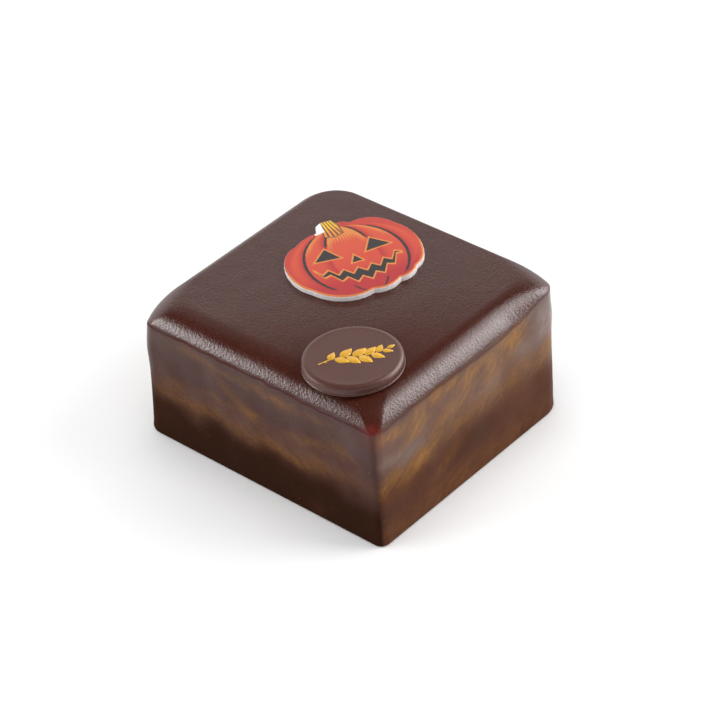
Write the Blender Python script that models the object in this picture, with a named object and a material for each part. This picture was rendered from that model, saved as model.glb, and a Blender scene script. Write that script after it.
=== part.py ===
"""A small whole opera cake in chocolate glaze, with a pumpkin plaque and a chocolate disc lying on top.

Metres, +Z up. The origin is the middle of the cake's base, +X and -Y are the two faces seen first, and
the cake stands on z = 0. The glaze runs over the whole cake, so cake and glaze are one solid.
"""

import math

import bmesh
import bpy
from mathutils import Matrix, Vector

# The cake's box at its base, and its height
LENGTH = 0.1120
WIDTH = 0.0990
HEIGHT = 0.0548

# How far each wall stands out at the base from where it meets the rounded top edge
LEAN_RIGHT = 0.0001
LEAN_LEFT = 0.0037
LEAN_BACK = 0.0007
LEAN_FRONT = 0.0010

# Upright corners, from the right back one round to the right front one: radius of the wall at its base and
# under the rounded edge, then of the flat top's outline above it
BASE_CORNER_RADII = (0.0100, 0.0200, 0.0069, 0.0034)
CORNER_RADII = (0.0076, 0.0200, 0.0061, 0.0034)
TOP_CORNER_RADII = (0.0178, 0.0107, 0.0149, 0.0042)

# The rounded top edge over each wall. It starts with a short sharp lip, which takes this share of its
# length and turns it from upright to this angle, and from there it eases over to the flat top
EDGES = (
    # reach in from the wall, drop from the top, share of the lip, angle after the lip
    (0.0112, 0.0068, 0.055, math.radians(62.0)),
    (0.0026, 0.0041, 0.040, math.radians(78.0)),
    (0.0058, 0.0091, 0.040, math.radians(78.0)),
    (0.0112, 0.0068, 0.055, math.radians(62.0)),
)
EDGE_EASE = 1.35
EDGE_SAMPLES = 20
FOOT_RADIUS = 0.0009

# Towards the right back corner the right edge loses this share of its drop, between these two places along it
CORNER_RISE = 0.55
CORNER_RISE_SPAN = (0.020, 0.045)

# The glaze is thickest just under the rounded edge, and runs down the walls in soft waves
SHOULDER_DEPTH = 0.0005
SHOULDER_SHARE = 0.80
SHOULDER_SPREAD = 0.13
RELIEF_FADE_POWER = 0.6
WAVES = (
    # height of the wave, waves round the cake, lean of the wave in turns over the height, start in turns
    (0.00022, 11, 0.55, 0.10),
    (0.00016, 19, -0.80, 0.47),
    (0.00010, 31, 1.10, 0.83),
)

ARC_STEPS = 9
SIDE_STEPS = 22
WALL_STEPS = 11
EDGE_STEPS = 10
FOOT_STEPS = 2

# Pieces that lie on the cake keep this clearance to it
REST_GAP = 0.0003

# Chocolate disc
DISC_DIAMETER = 0.0349
DISC_HEIGHT = 0.0036
DISC_FLAT_DIAMETER = 0.0308
DISC_FOOT_INSET = 0.0002
DISC_WALL_SHARE = 0.50
DISC_SIDES = 72
DISC_BEVEL_STEPS = 6
DISC_PLACE = (0.0311, -0.0300)
DISC_TURN = math.radians(44.0)

# Pumpkin plaque: its lobes are ellipses in the plaque's own plane, +Y towards the stem
PLAQUE_THICKNESS = 0.0018
PLAQUE_EDGE_RADIUS = 0.0005
PLAQUE_RIM = 0.0003
PLAQUE_PLACE = (-0.0075, 0.0147)
PLAQUE_TURN = math.radians(61.5)
PLAQUE_LOBES = (
    # middle across, middle up, half width, half height
    (-0.0151, 0.0003, 0.0092, 0.0145),
    (-0.0060, -0.0010, 0.0166, 0.0204),
    (0.0032, -0.0061, 0.0116, 0.0149),
    (0.0114, -0.0061, 0.0083, 0.0119),
    (0.0163, 0.0007, 0.0079, 0.0145),
    (0.0093, 0.0063, 0.0124, 0.0150),
    (0.0023, 0.0133, 0.0054, 0.0092),
)
STEM_OUTLINE = (
    (0.0014, 0.0205),
    (0.0007, 0.0235),
    (0.0000, 0.0249),
    (-0.0039, 0.0248),
    (-0.0060, 0.0233),
    (-0.0076, 0.0175),
)
LOBE_BLEND_POWER = 160.0
PLAQUE_SIDES = 150
PLAQUE_EDGE_STEPS = 3

GLAZE_COLOUR = (0.062, 0.022, 0.014, 1.0)
GLAZE_ROUGHNESS = 0.32
SUGAR_COLOUR = (0.820, 0.160, 0.070, 1.0)
SUGAR_ROUGHNESS = 0.42
CHOCOLATE_COLOUR = (0.105, 0.046, 0.036, 1.0)
CHOCOLATE_ROUGHNESS = 0.45

SHARP_ANGLE = math.radians(50.0)
QUARTER_TURN = math.pi / 2


def clear_scene():
    """Removes whatever the file opened with."""
    for old in list(bpy.data.objects):
        bpy.data.objects.remove(old, do_unlink=True)


def material(name, colour, roughness):
    """A Principled material of one colour."""
    made = bpy.data.materials.new(name)
    made.use_nodes = True
    shader = made.node_tree.nodes["Principled BSDF"]
    shader.inputs["Base Color"].default_value = colour
    shader.inputs["Roughness"].default_value = roughness
    shader.inputs["Metallic"].default_value = 0.0
    return made


def ring_object(name, rings, finish):
    """One closed, smooth shaded object from a stack of rings, each capped by a fan round its middle."""
    mesh = bmesh.new()
    made = [[mesh.verts.new(point) for point in ring] for ring in rings]
    for below, above in zip(made, made[1:]):
        for i in range(len(below)):
            after = (i + 1) % len(below)
            mesh.faces.new((below[i], below[after], above[after], above[i]))
    for ring, upwards in ((made[0], False), (made[-1], True)):
        middle = sum((vert.co for vert in ring), Vector()) / len(ring)
        centre = mesh.verts.new(middle)
        for i in range(len(ring)):
            after = (i + 1) % len(ring)
            corners = (ring[i], ring[after], centre) if upwards else (ring[after], ring[i], centre)
            mesh.faces.new(corners)
    bmesh.ops.recalc_face_normals(mesh, faces=mesh.faces)
    data = bpy.data.meshes.new(name)
    mesh.to_mesh(data)
    mesh.free()
    data.shade_smooth()
    data.set_sharp_from_angle(angle=SHARP_ANGLE)
    data.materials.append(finish)
    made_object = bpy.data.objects.new(name, data)
    bpy.context.scene.collection.objects.link(made_object)
    return made_object


def rounded_rectangle(left, right, front, back, radii):
    """Points anticlockwise from the right back corner's start, each with its outward direction."""
    corners = (
        (right, back, 1, 1),
        (left, back, -1, 1),
        (left, front, -1, -1),
        (right, front, 1, -1),
    )
    arcs = []
    for quarter, ((x, y, to_x, to_y), radius) in enumerate(zip(corners, radii)):
        centre = Vector((x - to_x * radius, y - to_y * radius))
        arc = []
        for step in range(ARC_STEPS + 1):
            angle = QUARTER_TURN * (quarter + step / ARC_STEPS)
            outward = Vector((math.cos(angle), math.sin(angle)))
            arc.append((centre + radius * outward, outward))
        arcs.append(arc)
    points = []
    for arc, following in zip(arcs, arcs[1:] + arcs[:1]):
        points += arc
        (start, outward), (end, _) = arc[-1], following[0]
        points += [(start.lerp(end, step / SIDE_STEPS), outward) for step in range(1, SIDE_STEPS)]
    return points


def shares_round(outline):
    """Each point's share of the way round a closed outline."""
    following = outline[1:] + outline[:1]
    lengths = [(end[0] - start[0]).length for start, end in zip(outline, following)]
    whole = sum(lengths)
    return [sum(lengths[:i]) / whole for i in range(len(outline))]


def glaze_relief(share_round, share_up):
    """How far the glaze stands out of the plain wall, from its place round the cake and up the wall."""
    fade = math.sin(math.pi * min(max(share_up, 0.0), 1.0)) ** RELIEF_FADE_POWER
    shoulder = SHOULDER_DEPTH * math.exp(-(((share_up - SHOULDER_SHARE) / SHOULDER_SPREAD) ** 2))
    waves = 0.0
    for height, count, lean, start in WAVES:
        waves += height * math.sin(math.tau * (count * share_round + lean * share_up + start))
    return fade * (shoulder + waves)


def edge_profile(edge):
    """The rounded edge over one wall, from the wall up: inset from the wall, and depth below the top."""
    reach, drop, lip_share, lip_angle = edge
    insets = [0.0]
    rises = [0.0]
    for sample in range(EDGE_STEPS * EDGE_SAMPLES):
        share = (sample + 0.5) / (EDGE_STEPS * EDGE_SAMPLES)
        if share < lip_share:
            angle = QUARTER_TURN + (lip_angle - QUARTER_TURN) * share / lip_share
        else:
            angle = lip_angle * ((1.0 - share) / (1.0 - lip_share)) ** EDGE_EASE
        insets.append(insets[-1] + math.cos(angle))
        rises.append(rises[-1] + math.sin(angle))
    kept = range(0, len(insets), EDGE_SAMPLES)
    return [(reach * insets[i] / insets[-1], drop * (1.0 - rises[i] / rises[-1])) for i in kept]


def smooth_step(value, start, end):
    """0 before the start, 1 after the end, and a smooth rise between."""
    share = min(max((value - start) / (end - start), 0.0), 1.0)
    return share * share * (3.0 - 2.0 * share)


def mixed_depth(outward, depths):
    """One depth from those over the four walls, right, back, left and front, by the outward direction."""
    quarters = (math.atan2(outward.y, outward.x) / QUARTER_TURN) % 4.0
    wall = int(quarters) % 4
    share = smooth_step(quarters - int(quarters), 0.0, 1.0)
    return depths[wall] * (1.0 - share) + depths[(wall + 1) % 4] * share


def cake_ring(share_up, levels, share_top, foot_inset=0.0):
    """One ring of the cake. Its levels hold the inset and the depth below the top over each wall."""
    insets = [inset + foot_inset for inset, _ in levels]
    depths = [depth for _, depth in levels]
    right = LENGTH / 2 - LEAN_RIGHT * share_up - insets[0]
    back = WIDTH / 2 - LEAN_BACK * share_up - insets[1]
    left = -LENGTH / 2 + LEAN_LEFT * share_up + insets[2]
    front = -WIDTH / 2 + LEAN_FRONT * share_up + insets[3]
    walls = [base + (top - base) * share_up for base, top in zip(BASE_CORNER_RADII, CORNER_RADII)]
    radii = [wall + (top - wall) * share_top for wall, top in zip(walls, TOP_CORNER_RADII)]
    outline = rounded_rectangle(left, right, front, back, radii)
    right_rise = CORNER_RISE * share_up * min(depths[0], EDGES[0][1])
    ring = []
    for (point, outward), share in zip(outline, shares_round(outline)):
        relief = glaze_relief(share, share_up) if share_top == 0.0 else 0.0
        place = point + relief * outward
        right_depth = depths[0] - right_rise * smooth_step(point.y, *CORNER_RISE_SPAN)
        ring.append((place.x, place.y, HEIGHT - mixed_depth(outward, [right_depth, *depths[1:]])))
    return ring


def build_cake(finish):
    """The glazed cake: a small rounded foot, leaning walls, and a rounded edge up to the flat top."""
    rings = []
    for step in range(FOOT_STEPS):
        angle = QUARTER_TURN * step / FOOT_STEPS
        depth = HEIGHT - FOOT_RADIUS * (1.0 - math.cos(angle))
        rings.append(cake_ring(0.0, [(0.0, depth)] * 4, 0.0, FOOT_RADIUS * (1.0 - math.sin(angle))))
    foot_depth = HEIGHT - FOOT_RADIUS
    for step in range(WALL_STEPS + 1):
        share = step / WALL_STEPS
        levels = [(0.0, foot_depth + (drop - foot_depth) * share) for _, drop, _, _ in EDGES]
        rings.append(cake_ring(share, levels, 0.0))
    profiles = [edge_profile(edge) for edge in EDGES]
    for step in range(1, EDGE_STEPS + 1):
        rings.append(cake_ring(1.0, [profile[step] for profile in profiles], step / EDGE_STEPS))
    return ring_object("glazed_cake", rings, finish)


def ellipse_reach(lobe, angle):
    """The furthest point of one lobe along a ray from the plaque's middle, or 0 where the ray misses it."""
    across, up, half_width, half_height = lobe
    ray_x = math.cos(angle) / half_width
    ray_y = math.sin(angle) / half_height
    centre_x = across / half_width
    centre_y = up / half_height
    along = ray_x * centre_x + ray_y * centre_y
    square = ray_x**2 + ray_y**2
    inside = along**2 - square * (centre_x**2 + centre_y**2 - 1.0)
    if inside < 0.0:
        return 0.0
    return max((along + math.sqrt(inside)) / square, 0.0)


def stem_reach(angle):
    """The edge of the stem along a ray from the plaque's middle, or 0 where the ray misses it."""
    ray = Vector((math.cos(angle), math.sin(angle)))
    for start, end in zip(STEM_OUTLINE, STEM_OUTLINE[1:]):
        start, end = Vector(start), Vector(end)
        before, after = ray.cross(start), ray.cross(end)
        if before <= 0.0 <= after:
            return start.lerp(end, before / (before - after)).dot(ray)
    return 0.0


def plaque_reach(angle):
    """The plaque's edge along a ray from its middle: its lobes and stem, blended where they meet."""
    reaches = [ellipse_reach(lobe, angle) for lobe in PLAQUE_LOBES] + [stem_reach(angle)]
    largest = max(reaches)
    total = sum((reach / largest) ** LOBE_BLEND_POWER for reach in reaches)
    return PLAQUE_RIM + largest * total ** (1.0 / LOBE_BLEND_POWER)


def build_plaque(finish):
    """The pumpkin plaque: a flat sheet with an upright edge, rounded at the top."""
    outline = []
    for i in range(PLAQUE_SIDES):
        angle = math.tau * i / PLAQUE_SIDES
        outline.append(plaque_reach(angle) * Vector((math.cos(angle), math.sin(angle))))
    levels = [(0.0, 0.0)]
    for step in range(PLAQUE_EDGE_STEPS + 1):
        angle = QUARTER_TURN * step / PLAQUE_EDGE_STEPS
        height = PLAQUE_THICKNESS - PLAQUE_EDGE_RADIUS * (1.0 - math.sin(angle))
        levels.append((height, PLAQUE_EDGE_RADIUS * (1.0 - math.cos(angle))))
    rings = []
    for height, inset in levels:
        rings.append([(*(point * (1.0 - inset / point.length)), height) for point in outline])
    return ring_object("pumpkin_plaque", rings, finish)


def disc_profile():
    """The disc's edge from its foot up, as radius and height: a short wall, then a rounded slope."""
    radius = DISC_DIAMETER / 2
    flat = DISC_FLAT_DIAMETER / 2
    wall = DISC_HEIGHT * DISC_WALL_SHARE
    profile = [(radius - DISC_FOOT_INSET, 0.0), (radius, wall / 2)]
    for step in range(DISC_BEVEL_STEPS + 1):
        angle = QUARTER_TURN * step / DISC_BEVEL_STEPS
        across = flat + (radius - flat) * math.cos(angle)
        profile.append((across, wall + (DISC_HEIGHT - wall) * math.sin(angle)))
    return profile


def build_disc(finish):
    """The chocolate disc, turned from its profile."""
    rings = []
    for radius, height in disc_profile():
        angles = [math.tau * i / DISC_SIDES for i in range(DISC_SIDES)]
        rings.append([(radius * math.cos(angle), radius * math.sin(angle), height) for angle in angles])
    return ring_object("chocolate_disc", rings, finish)


def lay_on_top(piece, place, turn, cake_top):
    """Lays a piece on the cake, turned about the upright axis."""
    piece.parent = cake_top
    piece.matrix_parent_inverse = Matrix.Identity(4)
    piece.location = (place[0], place[1], REST_GAP)
    piece.rotation_euler = (0.0, 0.0, turn)


def main():
    """Builds the cake, then what lies on it."""
    clear_scene()
    build_cake(material("glaze", GLAZE_COLOUR, GLAZE_ROUGHNESS))
    cake_top = bpy.data.objects.new("cake_top", None)
    bpy.context.scene.collection.objects.link(cake_top)
    cake_top.location = (0.0, 0.0, HEIGHT)
    plaque = build_plaque(material("printed_sugar", SUGAR_COLOUR, SUGAR_ROUGHNESS))
    lay_on_top(plaque, PLAQUE_PLACE, PLAQUE_TURN, cake_top)
    disc = build_disc(material("dark_chocolate", CHOCOLATE_COLOUR, CHOCOLATE_ROUGHNESS))
    lay_on_top(disc, DISC_PLACE, DISC_TURN, cake_top)


main()
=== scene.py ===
"""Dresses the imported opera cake: poured chocolate glaze, a printed sugar pumpkin and a moulded disc.

Metres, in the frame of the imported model: +Z is up, +X and -Y are the two walls that face the camera, and
the cake stands on z = 0. Each piece is a class with its sizes, and each finish is a small class of its own.
"""

import logging
import math
from collections.abc import Sequence
from dataclasses import dataclass, field
from enum import Enum
from typing import Any, Optional, Union

import bmesh
import bpy
from mathutils import Matrix, Vector, noise


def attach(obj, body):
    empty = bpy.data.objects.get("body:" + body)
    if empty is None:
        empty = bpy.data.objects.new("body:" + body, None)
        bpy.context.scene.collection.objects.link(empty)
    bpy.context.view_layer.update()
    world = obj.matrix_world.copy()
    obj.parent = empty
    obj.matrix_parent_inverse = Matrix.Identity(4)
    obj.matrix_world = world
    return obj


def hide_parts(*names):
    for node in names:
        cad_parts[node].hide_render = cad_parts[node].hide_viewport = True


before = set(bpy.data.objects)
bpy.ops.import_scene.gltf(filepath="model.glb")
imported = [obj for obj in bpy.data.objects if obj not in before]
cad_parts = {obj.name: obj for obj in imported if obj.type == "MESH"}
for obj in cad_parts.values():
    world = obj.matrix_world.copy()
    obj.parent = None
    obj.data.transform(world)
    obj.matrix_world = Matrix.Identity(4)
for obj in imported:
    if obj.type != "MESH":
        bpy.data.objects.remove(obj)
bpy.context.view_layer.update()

log = logging.getLogger("opera_cake")

Colour = tuple[float, float, float]
Point = tuple[float, float]
MM = 0.001


class Slot(Enum):
    """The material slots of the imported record."""

    GLAZE = "glaze"
    SUGAR = "printed_sugar"
    CHOCOLATE = "dark_chocolate"


class Wall(Enum):
    """The cake's walls, each with its outward direction and the direction that runs along it."""

    FRONT = ((0.0, -1.0), (1.0, 0.0))
    RIGHT = ((1.0, 0.0), (0.0, 1.0))
    BACK = ((0.0, 1.0), (-1.0, 0.0))
    LEFT = ((-1.0, 0.0), (0.0, -1.0))


class Tone(Enum):
    """What the glaze's look is mixed from, each one an attribute of its mesh. The gold, tan and pale tones
    are painted reflections on the walls; the dark foot and the dark red line under the edge are painted
    shade.
    """

    GOLD = "gold"
    DUSK = "dusk"
    TAN = "tan"
    MATT = "matt"
    BLUSH = "blush"
    SEAM = "seam"
    PALE = "pale"


class Sock:
    """An output socket of a node tree. Python's operators on it add Math nodes to that tree."""

    def __init__(self, graph: "Graph", link: bpy.types.NodeSocket) -> None:
        """Keeps the socket and the graph that it belongs to."""
        self.graph = graph
        self.link = link

    def __add__(self, other: "Value") -> "Sock":
        """Sum."""
        return self.graph.maths("ADD", self, other)

    def __radd__(self, other: "Value") -> "Sock":
        """Sum with a number on the left."""
        return self.graph.maths("ADD", other, self)

    def __sub__(self, other: "Value") -> "Sock":
        """Difference."""
        return self.graph.maths("SUBTRACT", self, other)

    def __rsub__(self, other: "Value") -> "Sock":
        """Difference from a number on the left."""
        return self.graph.maths("SUBTRACT", other, self)

    def __mul__(self, other: "Value") -> "Sock":
        """Product."""
        return self.graph.maths("MULTIPLY", self, other)

    def __rmul__(self, other: "Value") -> "Sock":
        """Product with a number on the left."""
        return self.graph.maths("MULTIPLY", other, self)

    def __truediv__(self, other: "Value") -> "Sock":
        """Quotient."""
        return self.graph.maths("DIVIDE", self, other)

    def __rtruediv__(self, other: "Value") -> "Sock":
        """Quotient of a number on the left."""
        return self.graph.maths("DIVIDE", other, self)

    def __pow__(self, other: "Value") -> "Sock":
        """Power."""
        return self.graph.maths("POWER", self, other)

    def __neg__(self) -> "Sock":
        """The opposite number."""
        return self.graph.maths("MULTIPLY", self, -1.0)

    def __abs__(self) -> "Sock":
        """Size without its sign."""
        return self.graph.maths("ABSOLUTE", self)

    def at_least(self, other: "Value") -> "Sock":
        """The larger of the two."""
        return self.graph.maths("MAXIMUM", self, other)

    def at_most(self, other: "Value") -> "Sock":
        """The smaller of the two."""
        return self.graph.maths("MINIMUM", self, other)

    def folded(self, length: float) -> "Sock":
        """A triangle wave of this value, from 0 to the length and back."""
        return self.graph.maths("PINGPONG", self, length)

    def rise(self, start: float, end: float) -> "Sock":
        """A smooth step from 0 at the start to 1 at the end."""
        feeds = {"Value": self, "From Min": start, "From Max": end}
        return self.graph.add("ShaderNodeMapRange", {"interpolation_type": "SMOOTHSTEP"}, feeds, "Result")


Value = Union[Sock, float]


class Graph:
    """A node tree that is built from Python expressions."""

    def __init__(self, tree: bpy.types.NodeTree) -> None:
        """Keeps the tree."""
        self.tree = tree

    def feed(self, socket: bpy.types.NodeSocket, value: Any) -> None:
        """Links a Sock to the socket, or sets a plain value on it."""
        if isinstance(value, Sock):
            self.tree.links.new(value.link, socket)
        elif isinstance(value, tuple) and socket.type == "RGBA" and len(value) == 3:
            socket.default_value = (*value, 1.0)
        else:
            socket.default_value = value

    def node(
        self, kind: str, settings: Optional[dict] = None, feeds: Optional[dict] = None
    ) -> bpy.types.Node:
        """Adds one node.

        Args:
            kind: The node's type.
            settings: Its own settings, which are set first.
            feeds: The value or Sock of each socket, by name or by place.

        Returns:
            The new node.
        """
        made = self.tree.nodes.new(kind)
        for name, value in (settings or {}).items():
            setattr(made, name, value)
        for name, value in (feeds or {}).items():
            self.feed(made.inputs[name], value)
        return made

    def add(self, kind: str, settings: dict, feeds: dict, output: Union[int, str] = 0) -> Sock:
        """Adds one node and gives one of its outputs."""
        return Sock(self, self.node(kind, settings, feeds).outputs[output])

    def maths(self, operation: str, *values: Value) -> Sock:
        """One Math node on these values."""
        return self.add("ShaderNodeMath", {"operation": operation}, dict(enumerate(values)))

    def vector(self, operation: str, *values: Any) -> Sock:
        """One Vector Math node on these values."""
        return self.add("ShaderNodeVectorMath", {"operation": operation}, dict(enumerate(values)))

    def scaled(self, vector: Any, factor: Value) -> Sock:
        """A vector or a colour times a number."""
        return self.add("ShaderNodeVectorMath", {"operation": "SCALE"}, {0: vector, "Scale": factor})

    def parts(self, vector: Sock) -> tuple[Sock, Sock, Sock]:
        """A vector's three numbers."""
        made = self.node("ShaderNodeSeparateXYZ", {}, {0: vector})
        return tuple(Sock(self, socket) for socket in made.outputs)

    def joined(self, x: Value, y: Value, z: Value) -> Sock:
        """Three numbers as a vector."""
        return self.add("ShaderNodeCombineXYZ", {}, {0: x, 1: y, 2: z})

    def blend(self, factor: Value, below: Any, above: Any) -> Sock:
        """Mixes two colours, from the first at factor 0 to the second at factor 1."""
        settings = {"data_type": "RGBA", "blend_type": "MIX", "clamp_factor": True}
        return self.add("ShaderNodeMix", settings, {0: factor, 6: below, 7: above}, 2)

    def cloud(self, place: Sock, scale: float, detail: float = 2.0, rough: float = 0.5) -> Sock:
        """Soft noise about 0.5, with so many waves to the metre."""
        feeds = {"Vector": place, "Scale": scale, "Detail": detail, "Roughness": rough}
        return self.add("ShaderNodeTexNoise", {}, feeds, 0)

    def dots(self, place: Sock, scale: float, core: float, rim: float) -> Sock:
        """Round dots strewn at random: 1 inside their core, and 0 outside their rim."""
        away = self.add("ShaderNodeTexVoronoi", {}, {"Vector": place, "Scale": scale}, "Distance")
        return 1.0 - away.rise(core, rim)


class SurfaceGraph(Graph):
    """The node tree of one material."""

    def __init__(self, name: str) -> None:
        """Makes an empty material with its output."""
        self.material = bpy.data.materials.new(name)
        self.material.use_nodes = True
        super().__init__(self.material.node_tree)
        self.tree.nodes.clear()
        self.exit = self.tree.nodes.new("ShaderNodeOutputMaterial")

    def place(self) -> Sock:
        """Where the shaded point is, in the frame of the cake."""
        return self.add("ShaderNodeTexCoord", {}, {}, "Object")

    def stored(self, name: str) -> Sock:
        """A number stored at the mesh's points."""
        return self.add("ShaderNodeAttribute", {"attribute_name": name}, {}, "Fac")

    def bumped(self, height: Sock, depth: float, under: Optional[Sock] = None) -> Sock:
        """A normal bent by a height.

        Args:
            height: From 0 to 1.
            depth: How deep that is, in metres.
            under: The normal that is bent, if not the mesh's own.

        Returns:
            The new normal.
        """
        feeds = {"Height": height, "Distance": depth, "Strength": 1.0}
        if under is not None:
            feeds["Normal"] = under
        return self.add("ShaderNodeBump", {}, feeds, "Normal")

    def principled(self, **feeds: Any) -> Sock:
        """A Principled shader. Underscores in the names of its sockets stand for spaces."""
        named = {name.replace("_", " "): value for name, value in feeds.items()}
        return self.add("ShaderNodeBsdfPrincipled", {}, named, "BSDF")

    def close(self, shader: Sock) -> bpy.types.Material:
        """Gives the shader to the output, and the finished material."""
        self.tree.links.new(shader.link, self.exit.inputs["Surface"])
        return self.material


class ShapeGraph(Graph):
    """A Geometry Nodes tree with named inputs, which is run once and leaves a plain mesh."""

    def __init__(self, name: str) -> None:
        """Makes a tree that takes a geometry and gives one."""
        super().__init__(bpy.data.node_groups.new(name, "GeometryNodeTree"))
        self.values: dict[str, Any] = {}
        self.tree.interface.new_socket("Geometry", in_out="INPUT", socket_type="NodeSocketGeometry")
        self.tree.interface.new_socket("Geometry", in_out="OUTPUT", socket_type="NodeSocketGeometry")
        self.entry = self.tree.nodes.new("NodeGroupInput")
        self.exit = self.tree.nodes.new("NodeGroupOutput")
        self.geometry = Sock(self, self.entry.outputs[0])

    def size(self, name: str, value: Any, kind: str = "NodeSocketFloat") -> Sock:
        """Adds a named input with its value, and gives its Sock."""
        item = self.tree.interface.new_socket(name, in_out="INPUT", socket_type=kind)
        self.values[item.identifier] = value
        return Sock(self, self.entry.outputs[name])

    def stored(self, name: str, kind: str = "FLOAT") -> Sock:
        """An attribute of the geometry."""
        return self.add("GeometryNodeInputNamedAttribute", {"data_type": kind}, {"Name": name})

    def chance(self, low: Value, high: Value, seed: Value) -> Sock:
        """A random number for each element."""
        feeds = {2: low, 3: high, "Seed": seed}
        return self.add("FunctionNodeRandomValue", {"data_type": "FLOAT"}, feeds, 1)

    def chance_vector(self, low: Sock, high: Sock, seed: Value) -> Sock:
        """A random vector for each element."""
        feeds = {0: low, 1: high, "Seed": seed}
        return self.add("FunctionNodeRandomValue", {"data_type": "FLOAT_VECTOR"}, feeds, 0)

    def close(self, shape: Sock, finish: bpy.types.Material) -> None:
        """Ends the tree: instances made real, and the material set."""
        real = self.add("GeometryNodeRealizeInstances", {}, {0: shape})
        dressed = self.add("GeometryNodeSetMaterial", {}, {"Geometry": real, "Material": finish})
        self.tree.links.new(dressed.link, self.exit.inputs[0])

    def run(self, carrier: bpy.types.Object) -> bpy.types.Mesh:
        """Runs the tree on an object.

        Args:
            carrier: The object that the tree works on.

        Returns:
            The result as a plain mesh. The carrier is left without the modifier.
        """
        modifier = carrier.modifiers.new(self.tree.name, "NODES")
        modifier.node_group = self.tree
        for identifier, value in self.values.items():
            modifier[identifier] = value
        evaluated = carrier.evaluated_get(bpy.context.evaluated_depsgraph_get())
        mesh = bpy.data.meshes.new_from_object(evaluated)
        carrier.modifiers.remove(modifier)
        return mesh


def linked_object(name: str, mesh: Optional[bpy.types.Mesh]) -> bpy.types.Object:
    """Puts a mesh into the scene as a new object at the origin."""
    made = bpy.data.objects.new(name, mesh)
    bpy.context.scene.collection.objects.link(made)
    return made


def mesh_of(
    name: str, points: Sequence[Sequence[float]], faces: Sequence[Sequence[int]]
) -> bpy.types.Mesh:
    """A smooth shaded mesh from its points and faces."""
    mesh = bpy.data.meshes.new(name)
    mesh.from_pydata([tuple(point) for point in points], [], faces)
    mesh.shade_smooth()
    mesh.update()
    return mesh


def level_ray(angle: float) -> Vector:
    """The level direction at an angle from +X."""
    return Vector((math.cos(angle), math.sin(angle), 0.0))


def path_carrier(name: str, points: Sequence[Vector], closed: bool) -> bpy.types.Object:
    """A line through the points, for a tree to follow."""
    links = len(points) if closed else len(points) - 1
    edges = [(i, (i + 1) % len(points)) for i in range(links)]
    path = bpy.data.meshes.new(name)
    path.from_pydata([tuple(point) for point in points], edges, [])
    return linked_object(name, path)


def ring_faces(rings: int, sides: int) -> list[tuple[int, ...]]:
    """Faces of a stack of closed rings, with a fan at each end.

    Args:
        rings: How many rings there are, from the bottom up. Each turns anticlockwise.
        sides: How many points a ring has. The middle points follow the last ring, the bottom one first.

    Returns:
        The faces, all pointing outwards.
    """
    faces: list[tuple[int, ...]] = []
    for ring in range(rings - 1):
        start = ring * sides
        for side in range(sides):
            after = (side + 1) % sides
            faces.append((start + side, start + after, start + sides + after, start + sides + side))
    bottom = rings * sides
    last = (rings - 1) * sides
    for side in range(sides):
        after = (side + 1) % sides
        faces.append((after, side, bottom))
        faces.append((last + side, last + after, bottom + 1))
    return faces


def smooth_step(value: float, start: float, end: float) -> float:
    """0 before the start, 1 after the end, and a smooth rise between."""
    share = min(max((value - start) / (end - start), 0.0), 1.0)
    return share * share * (3.0 - 2.0 * share)


def share_below(value: float, level: float, span: float) -> float:
    """1 well below the level and 0 well above it, with a smooth change over the span."""
    return smooth_step((level - value) / span, -0.5, 0.5)


def keep_numbers(mesh: bpy.types.Mesh, name: str, values: Sequence[float]) -> None:
    """Stores one number at each point of a mesh."""
    stored = mesh.attributes.new(name, "FLOAT", "POINT")
    stored.data.foreach_set("value", list(values))


def finished(piece: bpy.types.Object, stands_for: Optional[str] = None) -> bpy.types.Object:
    """Tells the frame where a piece belongs.

    Args:
        piece: The finished object.
        stands_for: The CAD node that it replaces, if any.

    Returns:
        The same piece.
    """
    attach(piece, "root")
    if stands_for is not None:
        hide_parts(stands_for)
    log.info("%s: %d faces", piece.name, len(piece.data.polygons))
    return piece


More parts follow.
